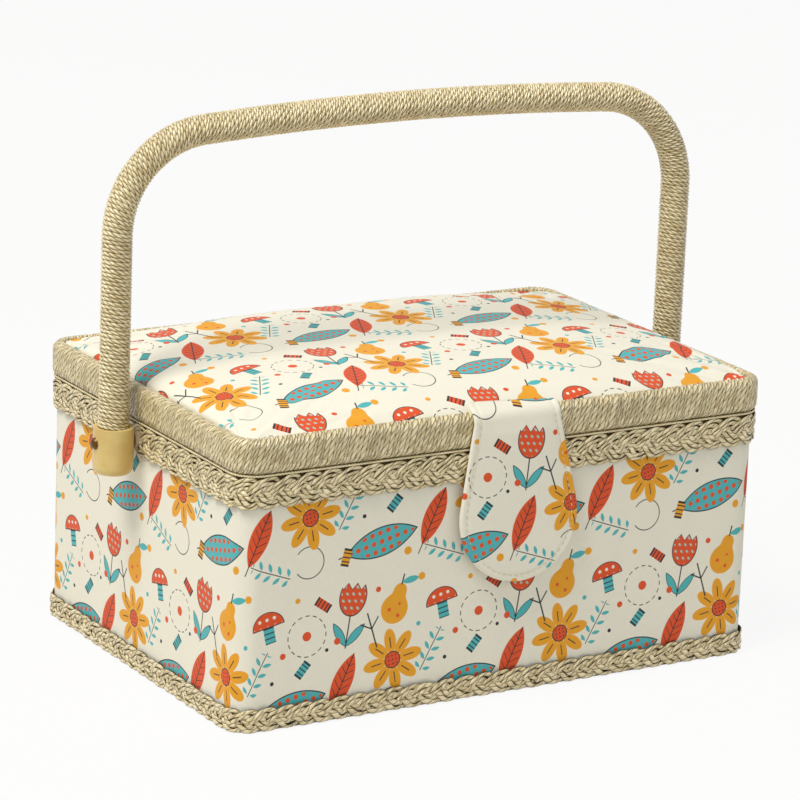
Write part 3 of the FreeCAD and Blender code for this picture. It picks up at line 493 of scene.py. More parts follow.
    def draw(self) -> Field:
        """Print the whole layout.

        Returns:
            The colour of the printed cloth.
        """
        inks, at = self.inks, self.at
        self.hoop(66, 50, 13.0, True)
        self.hoop(14, 6, 10.0, False)
        self.sprig(at(37, 33, 62), inks.teal)
        self.sprig(at(95, 3, 160), inks.teal)
        self.dotted_leaf(at(57, 12, 14), inks.teal, inks.orange)
        self.veined_leaf(at(88, 22, 66), inks.orange)
        self.daisy(at(14, 30, 10), inks.mustard, inks.orange)
        self.tulip(at(92, 62, -8), inks.orange, inks.teal)
        self.toadstool(at(43, 58, 12))
        self.pear(at(14, 58, -14))
        self.bean(at(64, 32, 50), inks.teal)
        self.bean(at(75, 66, -35), inks.orange)
        self.bean(at(36, 6, 75), inks.mustard)
        self.dot(66, 50, 3.0, inks.orange)
        self.dot(30, 74, 2.4, inks.mustard)
        self.dot(78, 41, 1.2, inks.dark)
        self.dot(52, 41, 2.0, inks.orange)
        self.dot(73, 5, 2.6, inks.mustard)
        self.dot(29, 48, 1.5, inks.teal)
        self.twig(at(1, 48, 18))
        self.dot(84, 45, 2.2, inks.orange)
        self.dot(46, 27, 1.3, inks.dark)
        self.dot(4, 70, 1.8, inks.orange)
        self.dot(60, 70, 1.7, inks.mustard)
        return self.colour


@dataclass(frozen=True)
class PrintedCloth:
    """Printed cotton, plainly woven."""

    inks: Inks = Inks()
    thread: float = 0.55 * MM
    rough: float = 0.82

    def make(self) -> bpy.types.Material:
        """Build the material: the print, a faint weave and slubs."""
        graph = Graph("printed_cloth")
        cloth = graph.cloth_place()
        colour = GardenPrint(graph, self.inks).draw()
        across, up = graph.split(cloth)
        frequency = TURN / self.thread
        warp = graph.math("SINE", across * frequency)
        weft = graph.math("SINE", up * frequency)
        weave = graph.math("MULTIPLY_ADD", warp * weft, 0.5, 0.5)
        slub = graph.noise(graph.scaled(cloth, 1500.0, 260.0), 1.0)
        shade = graph.math("MULTIPLY_ADD", slub, 0.10, 0.93)
        tinted = graph.node("ShaderNodeVectorMath", {0: colour}, operation="SCALE")
        graph.feed(tinted.inputs["Scale"], shade)
        normal = graph.bump(weave, 0.05 * MM, graph.bump(slub, 0.05 * MM))
        return graph.finish(Field(graph, tinted.outputs[0]), self.rough, normal,
                            Sheen_Weight=0.12, Specular_IOR_Level=0.25)


@dataclass(frozen=True)
class Straw:
    """Satin straw: bundles of fine threads, with painted shade in the hollows."""

    name: str = "straw"
    light: tuple = linear("FFF4CC")
    middle: tuple = linear("DCC07A")
    dark: tuple = linear("9A7F38")
    # Dark brown of the painted shade in the hollows between threads and plies.
    hollow_shade: tuple = linear("3E2B06")
    rough: float = 0.27
    thread: float = 0.4 * MM
    contrast: float = 1.9
    lift: float = 0.18
    shine: float = 0.95
    cord: float = 0.0
    lay: float = 0.0

    def cord_height(self, graph: Graph, along: Field, across: Field) -> Field:
        """Height of a two-ply cord at a place on it, from 0 to 1.

        Args:
            graph: the material's graph.
            along: metres along the cord.
            across: metres from its middle line.

        Returns:
            The height, by the formula of twisted_relief().
        """
        share = across * (1 / self.cord)
        wave = abs(graph.math("SINE", (share + along * (2 / self.lay)) * math.pi))
        edge = graph.math("POWER", abs(share) * 2.0, 3.0)
        return graph.math("POWER", wave, 0.6) * (1.0 - edge * 0.8)

    def make(self) -> bpy.types.Material:
        """Build the material from each strand's own length and width."""
        graph = Graph(self.name)
        strand = graph.cloth_place()
        if self.cord:
            along, across = graph.split(strand)
            slope = 2 * self.cord / self.lay
            strand = graph.join(along, across + along * slope)
        fibre = graph.noise(graph.scaled(strand, 70.0, 1 / self.thread), 1.0, 3.0, 0.6)
        patch = graph.noise(graph.scaled(strand, 110.0, 500.0), 1.0, 1.0)
        tone = graph.mark("tone")
        shift = tone * 0.6 + patch * 0.5 + self.lift
        level = graph.math("MULTIPLY_ADD", fibre - 0.5, self.contrast, shift, clamp=True)
        colour = graph.mix(level, self.dark, self.light)
        colour = graph.mix(0.3, colour, self.middle)
        # Painted shade: how deep a point lies in a hollow, read from the stored mark.
        depth = graph.math("POWER", graph.mark("hollow_shade"), 1.3, clamp=True)
        normal = graph.bump(fibre, 0.3 * MM)
        if self.cord:
            height = self.cord_height(graph, along, across)
            # Painted shade in the grooves between plies, darkest where the cord is low.
            groove_shade = graph.math("MULTIPLY_ADD", height, -2.0, 1.1, clamp=True)
            depth = depth.over(groove_shade)
            normal = graph.bump(height, 0.25 * self.cord, normal)
        # Paint the shade over the colour, and take the shine out of the shaded hollows.
        colour = graph.mix(depth * 0.9, colour, self.hollow_shade)
        shine = (1.0 - depth) * self.shine
        return graph.finish(colour, self.rough, normal, Specular_IOR_Level=shine,
                            Coat_Weight=shine * 0.4, Coat_Roughness=0.2)


@dataclass(frozen=True)
class Satin:
    """Smooth lining cloth with a soft shine."""

    name: str = "satin"
    tone: tuple = linear("EFE3CB")
    shade: tuple = linear("D9C8A8")
    rough: float = 0.42

    def make(self) -> bpy.types.Material:
        """Build the material: fine ribs and a slight cloudiness."""
        graph = Graph(self.name)
        cloth = graph.cloth_place()
        cloud = graph.noise(cloth, 45.0, 3.0)
        rib = graph.noise(graph.scaled(cloth, 3200.0, 240.0), 1.0)
        colour = graph.mix(graph.math("MULTIPLY_ADD", cloud, 0.7, rib * 0.25, clamp=True),
                           self.shade, self.tone)
        normal = graph.bump(rib, 0.03 * MM, graph.bump(cloud, 0.5 * MM))
        return graph.finish(colour, self.rough, normal, Sheen_Weight=0.35,
                            Specular_IOR_Level=0.55)


@dataclass(frozen=True)
class Grained:
    """A solid with cloudy colour and a fine grain, such as plastic, board or metal."""

    name: str
    tone: tuple
    shade: tuple
    rough: float
    cloud: float = 60.0
    grain: float = 900.0
    depth: float = 0.04 * MM
    stretch: tuple = (1.0, 1.0, 1.0)
    metal: float = 0.0
    coat: float = 0.0
    shine: float = 0.5

    def make(self) -> bpy.types.Material:
        """Build the material on the object's own coordinates."""
        graph = Graph(self.name)
        place = graph.vector("MULTIPLY", graph.place(), self.stretch)
        cloud = graph.noise(place, self.cloud, 4.0, 0.6)
        grain = graph.noise(place, self.grain, 3.0, 0.6)
        blend = graph.math("MULTIPLY_ADD", cloud - 0.5, 2.2, grain * 0.6, clamp=True)
        colour = graph.mix(blend, self.shade, self.tone)
        rough = graph.math("MULTIPLY_ADD", grain, 0.14, self.rough - 0.07)
        normal = graph.bump(grain, self.depth)
        return graph.finish(colour, rough, normal, Metallic=self.metal, Coat_Weight=self.coat,
                            Specular_IOR_Level=self.shine)


@dataclass(frozen=True)
class StitchThread:
    """Twisted sewing thread."""

    name: str = "stitch_thread"
    tone: tuple = linear("EFE6CE")
    shade: tuple = linear("C9BC98")

    def make(self) -> bpy.types.Material:
        """Build the material: slanting plies along each stitch, with painted shade in the low
        places between them.
        """
        graph = Graph(self.name)
        along, across = graph.split(graph.cloth_place())
        ply = graph.math("SINE", (along + across * 0.8) * (TURN / (0.7 * MM)))
        level = graph.math("MULTIPLY_ADD", ply, 0.5, 0.5)
        colour = graph.mix(level, self.shade, self.tone)
        return graph.finish(colour, 0.6, graph.bump(level, 0.08 * MM))


class Wardrobe:
    """Makes each material once, and hands it out."""

    def __init__(self) -> None:
        """Build every finish."""
        self.plait_straw = Straw("plait_straw", thread=0.8 * MM, cord=Plait.cord,
                                 lay=Plait.lay).make()
        self.rim_straw = Straw("rim_straw", cord=WoundRim.pitch, lay=WoundRim.lay).make()
        self.handle_straw = Straw("handle_straw", cord=WoundHandle.cord,
                                  lay=WoundHandle.lay).make()
        finishes = {
            Slot.PRINT: PrintedCloth(),
            Slot.STRAW: Straw(),
            Slot.SATIN: Satin(),
            Slot.LEDGE: Grained("ledge_satin", linear("E9DCC2"), linear("D2C09C"), 0.5),
            Slot.CUSHION: Satin("cushion_cloth", linear("E4602F"), linear("B9421D"), 0.55),
            Slot.WADDING: Grained("wadding", linear("F1EEE6"), linear("DDD8CB"), 0.95, 180.0,
                                  700.0, 0.4 * MM),
            Slot.PAPER: Grained("cover_paper", linear("D8CDB4"), linear("C4B797"), 0.85),
            Slot.BOARD: Grained("board", linear("B49C74"), linear("96805C"), 0.9, 90.0, 1500.0,
                                0.1 * MM),
            Slot.WOOD: Grained("core_wood", linear("C09A63"), linear("94703F"), 0.6, 40.0, 600.0,
                               0.1 * MM, (1.0, 1.0, 0.15)),
            Slot.TRAY: Grained("tray_plastic", linear("F4F1E8"), linear("E6E2D6"), 0.34, 20.0,
                               1400.0, 0.015 * MM),
            Slot.CAP: Grained("cap_plastic", linear("DFC986"), linear("CFB167"), 0.33, 55.0,
                              1300.0, 0.03 * MM, coat=0.15),
            Slot.SPACER: Grained("spacer_plastic", linear("D2C3AE"), linear("B39F84"), 0.3),
            Slot.BRONZE: Grained("bronze", linear("8C6A3E"), linear("4E3920"), 0.34, 300.0, 1800.0,
                                 0.02 * MM, metal=1.0),
            Slot.BRASS: Grained("hinge_brass", linear("D0A75C"), linear("A67F3C"), 0.32, 120.0,
                                900.0, 0.02 * MM, (0.15, 1.0, 1.0), metal=1.0),
            Slot.SNAP: Grained("snap_metal", linear("C9C7C2"), linear("A8A6A0"), 0.25, 150.0,
                               1600.0, 0.01 * MM, metal=1.0),
        }
        self.made = {slot: finish.make() for slot, finish in finishes.items()}
        self.thread = StitchThread().make()

    def dress(self, piece: bpy.types.Object, slot: Slot,
              material: Optional[bpy.types.Material] = None) -> None:
        """Give a piece its finish.

        Args:
            piece: the piece.
            slot: the record's slot.
            material: another material than the slot's own.
        """
        piece.data.materials.clear()
        piece.data.materials.append(material or self.made[slot])

    def dress_node(self, name: str, slot: Slot) -> None:
        """Give a carried-over node its finish through its own material slots."""
        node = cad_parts[name]
        for holder in node.material_slots:
            holder.link = "OBJECT"
            holder.material = self.made[slot]


def put(name: str, data: bpy.types.ID) -> bpy.types.Object:
    """Put a new object into the scene, at the origin."""
    made = bpy.data.objects.new(name, data)
    bpy.context.scene.collection.objects.link(made)
    return made


def shares(count: int, extra: int = 0) -> np.ndarray:
    """Give even shares of a round; one extra comes back to its start."""
    return np.arange(count + extra) / count


def circle(count: int) -> tuple[np.ndarray, np.ndarray]:
    """Give the cosines and sines of even steps round a circle."""
    angle = TURN * shares(count)
    return np.cos(angle), np.sin(angle)


def ramp(value: np.ndarray, start: float, length: float) -> np.ndarray:
    """Rise evenly from 0 to 1 over a length, and stay flat before and after."""
    return np.clip((value - start) / length, 0, 1)


def dome(share: np.ndarray) -> np.ndarray:
    """Rise as a quarter circle from 0, at share 0, to 1, at share 1."""
    return np.sqrt(1 - (1 - share) ** 2)


def stacked(*parts: Union[np.ndarray, float]) -> np.ndarray:
    """Join parts as the last axis, each spread to the shape of all."""
    return np.stack(np.broadcast_arrays(*parts), -1)


def travelled(points: np.ndarray) -> np.ndarray:
    """Distance along lines of points, each row a step further."""
    steps = np.linalg.norm(np.diff(points, axis=0), axis=-1)
    return np.concatenate([np.zeros((1,) + steps.shape[1:]), np.cumsum(steps, axis=0)])


def border(grid: np.ndarray) -> np.ndarray:
    """Mark the outermost points of a grid."""
    mask = np.ones(grid.shape, bool)
    mask[1:-1, 1:-1] = False
    return mask


def make_surface(name: str, points: np.ndarray, wrap: tuple[bool, bool] = (False, False),
                 uv: Optional[np.ndarray] = None, marks: Optional[dict] = None,
                 flip: bool = False) -> bpy.types.Object:
    """Make one mesh from a grid of points, or from several.

    Args:
        name: name of the piece.
        points: places in metres, shaped (patches, rows, columns, 3) or (rows, columns, 3).
        wrap: whether the rows, and the columns, close on themselves.
        uv: places on the cloth, for each patch or for all, with one more row or column
            where it closes; or shaped (rows, columns, 4, 2) for the corners of each face.
        marks: numbers to store at each point, by name.
        flip: turn the faces round.

    Returns:
        The object, at the origin.
    """
    points = points.reshape((-1,) + points.shape[-3:])
    patches, rows, columns = points.shape[:3]
    row, column = np.meshgrid(np.arange(rows - (not wrap[0])), np.arange(columns - (not wrap[1])),
                              indexing="ij")
    corner_row = np.stack([row, row, row + 1, row + 1], -1)
    corner_column = np.stack([column, column + 1, column + 1, column], -1)
    if flip:
        corner_row, corner_column = corner_row[..., ::-1], corner_column[..., ::-1]
    first = np.arange(patches)[:, None, None, None] * rows * columns
    faces = first + (corner_row % rows) * columns + corner_column % columns
    coordinates = None
    if uv is not None and uv.shape[-4:-1] == row.shape + (4,):
        coordinates = uv.reshape(-1, 2)
    elif uv is not None:
        grids = np.broadcast_to(uv, (patches,) + uv.shape[-3:])
        coordinates = grids[:, corner_row, corner_column].reshape(-1, 2)
    return make_mesh(name, points.reshape(-1, 3), faces.reshape(-1, 4), coordinates, marks)


def make_mesh(name: str, points: np.ndarray, faces: np.ndarray,
              corner_uv: Optional[np.ndarray] = None,
              marks: Optional[dict] = None) -> bpy.types.Object:
    """Make a mesh object from arrays of points and four-sided faces.

    Args:
        name: name of the piece.
        points: places, shaped (points, 3).
        faces: point numbers, shaped (faces, 4).
        corner_uv: places on the cloth for each face corner.
        marks: numbers to store at each point, by name.

    Returns:
        The object, smoothly shaded.
    """
    mesh = bpy.data.meshes.new(name)
    mesh.vertices.add(len(points))
    mesh.vertices.foreach_set("co", points.astype(np.float32).ravel())
    mesh.loops.add(faces.size)
    mesh.loops.foreach_set("vertex_index", faces.astype(np.int32).ravel())
    mesh.polygons.add(len(faces))
    mesh.polygons.foreach_set("loop_start", np.arange(0, faces.size, 4, dtype=np.int32))
    mesh.update(calc_edges=True)
    mesh.polygons.foreach_set("use_smooth", np.ones(len(faces), bool))
    if corner_uv is not None:
        layer = mesh.uv_layers.new(name="UVMap")
        layer.data.foreach_set("uv", corner_uv.astype(np.float32).ravel())
    for key, values in (marks or {}).items():
        attribute = mesh.attributes.new(key, "FLOAT", "POINT")
        attribute.data.foreach_set("value", values.astype(np.float32).ravel())
    mesh.validate()
    return put(name, mesh)


@contextmanager
def edited(piece: bpy.types.Object) -> Iterator[bmesh.types.BMesh]:
    """Open a piece's mesh for changes, and write them back."""
    work = bmesh.new()
    work.from_mesh(piece.data)
    yield work
    work.to_mesh(piece.data)
    work.free()


def fill_holes(work: bmesh.types.BMesh) -> None:
    """Fill every open end with one face."""
    bmesh.ops.holes_fill(work, edges=[edge for edge in work.edges if edge.is_boundary], sides=0)


def close_holes(piece: bpy.types.Object) -> None:
    """Fill the open ends of a tube."""
    with edited(piece) as work:
        fill_holes(work)


def weld(piece: bpy.types.Object, distance: float = 0.001 * MM) -> None:
    """Merge points that lie together, and turn all faces outwards."""
    with edited(piece) as work:
        bmesh.ops.remove_doubles(work, verts=work.verts, dist=distance)
        bmesh.ops.recalc_face_normals(work, faces=work.faces)


def read_points(piece: bpy.types.Object) -> np.ndarray:
    """Give a mesh's points as an array."""
    points = np.zeros(len(piece.data.vertices) * 3, np.float32)
    piece.data.vertices.foreach_get("co", points)
    return points.reshape(-1, 3).astype(float)


def write_points(piece: bpy.types.Object, points: np.ndarray) -> None:
    """Set a mesh's points from an array."""
    piece.data.vertices.foreach_set("co", points.astype(np.float32).ravel())
    piece.data.update()


def inflate(piece: bpy.types.Object, held: np.ndarray, pressure: float, cap: float,
            frames: int = 20) -> None:
    """Swell a piece as cloth under pressure.

    Args:
        piece: the piece.
        held: which points stay where they are.
        pressure: push from inside.
        cap: the furthest that a point may move, in metres.
        frames: how many steps to run.
    """
    rest = read_points(piece)
    group = piece.vertex_groups.new(name="held")
    group.add(np.flatnonzero(held).tolist(), 1.0, "REPLACE")
    cloth = piece.modifiers.new("Swell", "CLOTH")
    settings = {"vertex_group_mass": group.name, "use_pressure": True,
                "uniform_pressure_force": pressure, "quality": 5, "tension_stiffness": 25.0,
                "compression_stiffness": 25.0, "bending_stiffness": 0.4}
    for key, value in settings.items():
        setattr(cloth.settings, key, value)
    cloth.settings.effector_weights.gravity = 0.0
    cloth.collision_settings.use_collision = False
    cloth.point_cache.frame_start, cloth.point_cache.frame_end = 1, frames
    scene = bpy.context.scene
    for number in range(1, frames + 1):
        scene.frame_set(number)
    swollen = piece.evaluated_get(bpy.context.evaluated_depsgraph_get())
    points = np.zeros(len(rest) * 3, np.float32)
    swollen.data.vertices.foreach_get("co", points)
    piece.modifiers.remove(cloth)
    piece.vertex_groups.remove(group)
    move = points.reshape(-1, 3) - rest
    length = np.linalg.norm(move, axis=1, keepdims=True)
    write_points(piece, rest + move * np.minimum(1.0, cap / np.maximum(length, 1e-9)))
    scene.frame_set(1)


def ripple(share: np.ndarray, seed: int, low: int, high: int, count: int = 10) -> np.ndarray:
    """Wander smoothly round a closed line: a sum of sines of whole wave numbers.

    Args:
        share: place round the line, from 0 to 1.
        seed: which wander.
        low: fewest waves.
        high: most waves.
        count: how many sines.

    Returns:
        The wander, mostly between -1 and 1.
    """
    random = np.random.default_rng(seed)
    waves = random.integers(low, high + 1, count)
    starts = random.uniform(0, TURN, count)
    total = sum(np.sin(TURN * wave * share + start) for wave, start in zip(waves, starts))
    return total * math.sqrt(2 / count) * 0.7


@dataclass(frozen=True)
class RimLine:
    """The rim's outline from above, anticlockwise from the left end of the back."""

    half_x: float
    half_y: float
    corner: float

    @property
    def length(self) -> float:
        """Length of the outline."""
        return 4 * (self.half_x + self.half_y) - (8 - TURN) * self.corner

    def at(self, distance: np.ndarray, inset: Union[float, np.ndarray]) -> tuple:
        """Find places inside the outline.

        A centre slides along the straight runs and waits at the corners, where an
        angle turns; the place is that centre plus the radius left by the inset.

        Args:
            distance: how far along the outline.
            inset: how far inside it.

        Returns:
            X and Y of each place.
        """
        a, b, arc = self.half_x - self.corner, self.half_y - self.corner, self.corner * TURN / 4
        steps = [0, arc, 2 * b, arc, 2 * a, arc, 2 * b, arc, 2 * a]
        keys = np.cumsum(steps)
        along = np.mod(distance, keys[-1])
        centre_x = np.interp(along, keys, [-a, -a, -a, -a, a, a, a, a, -a])
        centre_y = np.interp(along, keys, [b, b, -b, -b, -b, -b, b, b, b])
        angle = np.radians(np.interp(along, keys, [90, 180, 180, 270, 270, 360, 360, 450, 450]))
        reach = self.corner - inset
        return centre_x + reach * np.cos(angle), centre_y + reach * np.sin(angle)

    def band(self, along: np.ndarray, inset: np.ndarray, height: np.ndarray) -> np.ndarray:
        """Give points from distance along, inset and height."""
        return stacked(*self.at(along, inset), height)


RIM_LOW, RIM_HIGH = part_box("rim_wrap")
RIM_CORNER = 14 * MM
RIM = RimLine(RIM_HIGH.x, RIM_HIGH.y, RIM_CORNER)
SEAM_HEIGHT = RIM_LOW.z
RIM_TOP = RIM_HIGH.z
CLOTH_INSET = RIM.half_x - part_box("body_fabric")[1].x


def bearing(x: np.ndarray, y: np.ndarray) -> np.ndarray:
    """Give the share of a round at which a place lies, seen from the middle."""
    return np.arctan2(y / RIM.half_y, x / RIM.half_x) / TURN


def rounded_section(low: tuple, high: tuple, radii: tuple, count: int) -> np.ndarray:
    """Trace a rounded block's outline, anticlockwise from the low outer corner.

    Args:
        low: inset and height of its low outer corner.
        high: inset and height of its high inner corner.
        radii: radius at the outer and at the inner corners.
        count: points on each quarter.

    Returns:
        Rows of inset, height, and the two parts of the outward direction.
    """
    rows = []
    corners = [(low[0], low[1], radii[0], 180), (high[0], low[1], radii[1], 270),
               (high[0], high[1], radii[1], 0), (low[0], high[1], radii[0], 90)]
    for x, z, radius, start in corners:
        angle = np.radians(start + np.linspace(0, 90, count))
        sign_x = 1 if x == low[0] else -1
        sign_z = 1 if z == low[1] else -1
        cosine, sine = np.cos(angle), np.sin(angle)
        rows.append(np.stack([x + sign_x * radius + radius * cosine,
                              z + sign_z * radius + radius * sine, cosine, sine], -1))
    return np.concatenate(rows)


@dataclass
class WoundRim:
    """Straw wound side by side round the lid frame."""

    pitch: float = 2.25 * MM
    lean: float = 4.0 * MM
    relief: float = 1.0 * MM
    press: float = 0.6
    lay: float = 8.5 * MM
    thickness: float = 6.2 * MM
    outer_round: float = 4.0 * MM
    inner_round: float = 1.6 * MM
    columns: int = 6
    corner_points: int = 6
    side_points: tuple = (2, 10)
    widths: tuple = (0.62, 1.45)
    levels: tuple = (0.75, 1.0)
    tremble: float = 0.75 * MM
    drift: float = 0.8 * MM
    plies: int = 64

    def section(self) -> np.ndarray:
        """Trace the rim's cross-section with extra points on its tall sides."""
        shape = rounded_section((0.0, SEAM_HEIGHT), (self.thickness, RIM_TOP),
                                (self.outer_round, self.inner_round), self.corner_points)
        inner, outer = 2 * self.corner_points, 4 * self.corner_points
        between = []
        for first, second, count in zip((inner - 1, outer - 1), (inner, 0), self.side_points):
            share = np.linspace(0, 1, count + 2)[1:-1, None]
            between.append(shape[first] * (1 - share) + shape[second] * share)
        return np.concatenate([shape[:inner], between[0], shape[inner:outer], between[1]])

    def build(self) -> bpy.types.Object:
        """Make the winding.

        Strand edges divide the outline into uneven widths and lean with height; each
        strand has the relief of a twisted cord, started at a random turn.

        Returns:
            The piece.
        """
        random = np.random.default_rng(7)
        strands = round(RIM.length / self.pitch)
        widths = random.uniform(*self.widths, strands)
        edges = np.concatenate([[0], np.cumsum(widths)]) / widths.sum() * RIM.length
        section = self.section()
        share = shares(self.columns)
        first = (edges[:-1, None] + share * np.diff(edges)[:, None]).ravel()
        height = section[:, 1:2]
        up = (height - SEAM_HEIGHT) / (RIM_TOP - SEAM_HEIGHT)
        around = first / RIM.length
        sway = self.tremble * ripple(around + 0.004 * up, 3, 60, 190)
        sway = sway + self.drift * ripple(around, 4, 6, 25)
        along = first + (up - 0.5) * (self.lean + sway)
        travel = travelled(np.concatenate([section[:, :2], section[:1, :2]]))
        start = np.repeat(random.uniform(0, 1, strands), self.columns)
        lays = travel[:-1, None] / self.lay + start
        across = np.tile(share - 0.5, strands)
        relief = twisted_relief(across, lays)
        level = np.repeat(random.uniform(*self.levels, strands), self.columns)
        proud = self.relief * (self.press * relief * level - self.press)
        points = RIM.band(along, section[:, 0:1] + section[:, 2:3] * proud,
                          height + section[:, 3:4] * proud)
        near = across * self.pitch
        far = near + self.pitch / self.columns
        corner_u = np.stack([travel[:-1], travel[:-1], travel[1:], travel[1:]], -1)[:, None]
        uv = stacked(corner_u + start[:, None] * self.lay, np.stack([near, far, far, near], -1))
        tones = random.uniform(0, 1, (strands, self.plies))
        ply = np.floor(2 * lays + 0.5).astype(int) % self.plies
        tone = tones[np.repeat(np.arange(strands), self.columns), ply]
        # The hollow mark paints shade into the low places between plies; the tone differs at
        # random by ply.
        return make_surface("wound_rim", points, (True, True), uv,
                            {"hollow_shade": gap_shade(relief), "tone": tone})


@dataclass
class Plait:
    """A flat plait of three straw strands, each of several bundles, over a flat dark sheet of
    painted shade.
    """

    name: str
    bottom: float
    top: float
    period: float
    seed: int
    bundles: int
    shade_tape_high: float
    shade_tape_low: float = 3.2 * MM
    slant: float = 0.32
    thickness: float = 1.3 * MM
    weave: float = 0.45 * MM
    around: int = 8
    ring: float = 1.25 * MM
    cord: float = 2.6 * MM
    lay: float = 9.0 * MM
    strand_share: float = 0.41
    overswing: float = 1.07
    spacing: float = 1.06
    waver: float = 0.15
    stray: float = 0.05
    fatness: float = 0.55
    lift: float = 0.62
    crowding: float = 1.2
    tones: tuple = (0.1, 0.9)

    def ripples(self, share: np.ndarray, seed: int, low: int, high: int) -> np.ndarray:
        """Give each bundle a ripple of its own along the plait."""
        return np.stack([[ripple(share, self.seed + seed + 10 * strand + bundle, low, high)
                          for bundle in range(self.bundles)] for strand in range(3)])

    def shade_tape(self, share: np.ndarray, cosine: np.ndarray, sine: np.ndarray) -> np.ndarray:
        """Give the points of the dark sheet behind the strands: painted shade seen through the
        gaps.
        """
        low, high = self.bottom + self.shade_tape_low, self.top - self.shade_tape_high
        height = (low + high + (high - low) * np.clip(1.5 * cosine, -1, 1)) / 2
        return RIM.band(RIM.length * share[:, None], CLOTH_INSET - (0.35 + 0.2 * sine) * MM,
                        height)

    def build(self) -> bpy.types.Object:
        """Make the plait.

        Each strand swings across the band as a sine of the distance along it and in
        and out as a sine of twice that, so strands pass over and under in turn. The
        swing is sheared along the band. Bundles lie side by side across each strand.

        Returns:
            The piece.
        """
        tall = self.top - self.bottom
        width = tall * self.strand_share / self.bundles
        swing = (tall - self.bundles * width) / 2 * self.overswing
        periods = round(RIM.length / self.period)
        rings = round(RIM.length / self.ring)
        share = shares(rings)
        bundle = np.arange(self.bundles)[:, None]
        phase = TURN * (periods * share + np.arange(3)[:, None, None] / 3)
        wander = self.ripples(share, 0, 40, 130)
        swell = self.ripples(share, 100, 30, 200)
        drift = np.stack([ripple(share, self.seed + 200 + strand, 8, 60)
                          for strand in range(3)])[:, None]
        slope = swing * TURN * periods / RIM.length * np.cos(phase)
        norm = np.sqrt(1 + slope ** 2)
        side_along, side_up = -slope / norm, 1 / norm
        offset = (bundle - (self.bundles - 1) / 2) * width * self.spacing
        offset = offset + self.waver * width * wander
        up = swing * np.sin(phase) + offset * side_up + self.stray * swing * drift
        along = RIM.length * share + offset * side_along
        half_width = self.fatness * width * (1 + 0.18 * swell)
        half_thick = self.thickness / 2 * (1 + 0.14 * np.roll(swell, 3, axis=-1))
        out = self.thickness * self.lift + self.weave * (1 + np.sin(2 * phase))
        out = out + 0.14 * MM * wander * np.cos(bundle * 2.1)
        cosine, sine = circle(self.around)
        ring_up = up[..., None] + (half_width * side_up)[..., None] * cosine
        ring_along = along[..., None] + (half_width * side_along)[..., None] * cosine
        ring_out = out[..., None] + half_thick[..., None] * sine
        points = RIM.band(ring_along + self.slant * ring_up, CLOTH_INSET - ring_out,
                          (self.top + self.bottom) / 2 + np.clip(ring_up, -tall / 2, tall / 2))
        points = np.concatenate([points.reshape(-1, rings, self.around, 3),
                                 self.shade_tape(share, cosine, sine)[None]])
        patch = np.arange(len(points))[:, None, None]
        uv = stacked(shares(rings, 1)[:, None] * RIM.length * self.crowding + patch * 0.113,
                     (shares(self.around, 1) - 0.25) * 2 * self.cord)
        # Painted shade: darker where a bundle lies back towards the cloth and towards its sides,
        # where bundles meet.
        low = np.clip((self.thickness - ring_out) / self.thickness, 0, 1)
        low = low.reshape(-1, rings, self.around)
        hollow_shade = np.clip(1.3 * low + np.abs(cosine) ** 4 * (sine > -0.1), 0, 1)
        tone = np.random.default_rng(self.seed).uniform(*self.tones, (3 * self.bundles, 1, 1))
        tone = np.broadcast_to(tone + 0.25 * swell.reshape(-1, rings, 1), hollow_shade.shape)
        # The sheet behind the strands is marked as full painted shade.
        shade = np.ones((1,) + hollow_shade.shape[1:])
        return make_surface(self.name, points, (True, True), uv,
                            {"hollow_shade": np.concatenate([hollow_shade, shade]),
                             "tone": np.concatenate([tone, shade])})


def twisted_relief(across: np.ndarray, along: np.ndarray) -> np.ndarray:
    """Height of a two-ply cord, from 0 to 1.

    The height is |sin(pi * (across + 2 * along))| ** 0.6, so a ply crosses the cord in
    half a lay. It is lowered by 0.8 * |2 * across| ** 3 of itself towards the edges.

    Args:
        across: place across the cord, from -0.5 to 0.5.
        along: distance along it, in lays.

    Returns:
        The height.
    """
    wave = np.abs(np.sin(math.pi * (across + 2 * along)))
    return wave ** 0.6 * (1 - 0.8 * np.abs(2 * across) ** 3)


def gap_shade(relief: np.ndarray) -> np.ndarray:
    """Darken the low places between plies."""
    return 0.5 * np.clip(1 - 2.5 * relief, 0, 1)


@dataclass
class HandleLine:
    """Centre line of the handle: leg, bend, arched bar, bend, leg, seen from the front."""

    leg_x: float
    low: float
    bar_top: float
    bend: float = 49 * MM
    arch: float = 1760 * MM

    def keys(self) -> tuple[np.ndarray, np.ndarray]:
        """Give the distances where the heading starts to turn, and the headings."""
        bend_x = self.leg_x - self.bend
        lean = math.asin(bend_x / (self.arch - self.bend))
        bend_z = self.bar_top - self.arch + (self.arch - self.bend) * math.cos(lean)
        leg, quarter = bend_z - self.low, self.bend * (math.pi / 2 - lean)
        steps = [0, leg, quarter, 2 * self.arch * lean, quarter, leg]
        up = math.pi / 2
        return np.cumsum(steps), np.array([up, up, lean, -lean, -up, -up])

    def trace(self, step: float) -> tuple[np.ndarray, np.ndarray]:
        """Walk along the line in even steps, each step a chord of its arc.

        Args:
            step: about how long a step is.

        Returns:
            Points with columns distance, X and Z, and the headings.
        """
        keys, headings = self.keys()
        distance = np.linspace(0, keys[-1], math.ceil(keys[-1] / step) + 1)
        heading = np.interp(distance, keys, headings)
        bend = np.diff(heading)
        chord = np.diff(distance) * np.sinc(bend / TURN)
        middle = (heading[1:] + heading[:-1]) / 2
        x = -self.leg_x + np.concatenate([[0], np.cumsum(chord * np.cos(middle))])
        z = self.low + np.concatenate([[0], np.cumsum(chord * np.sin(middle))])
        return np.stack([distance, x, z], -1), heading


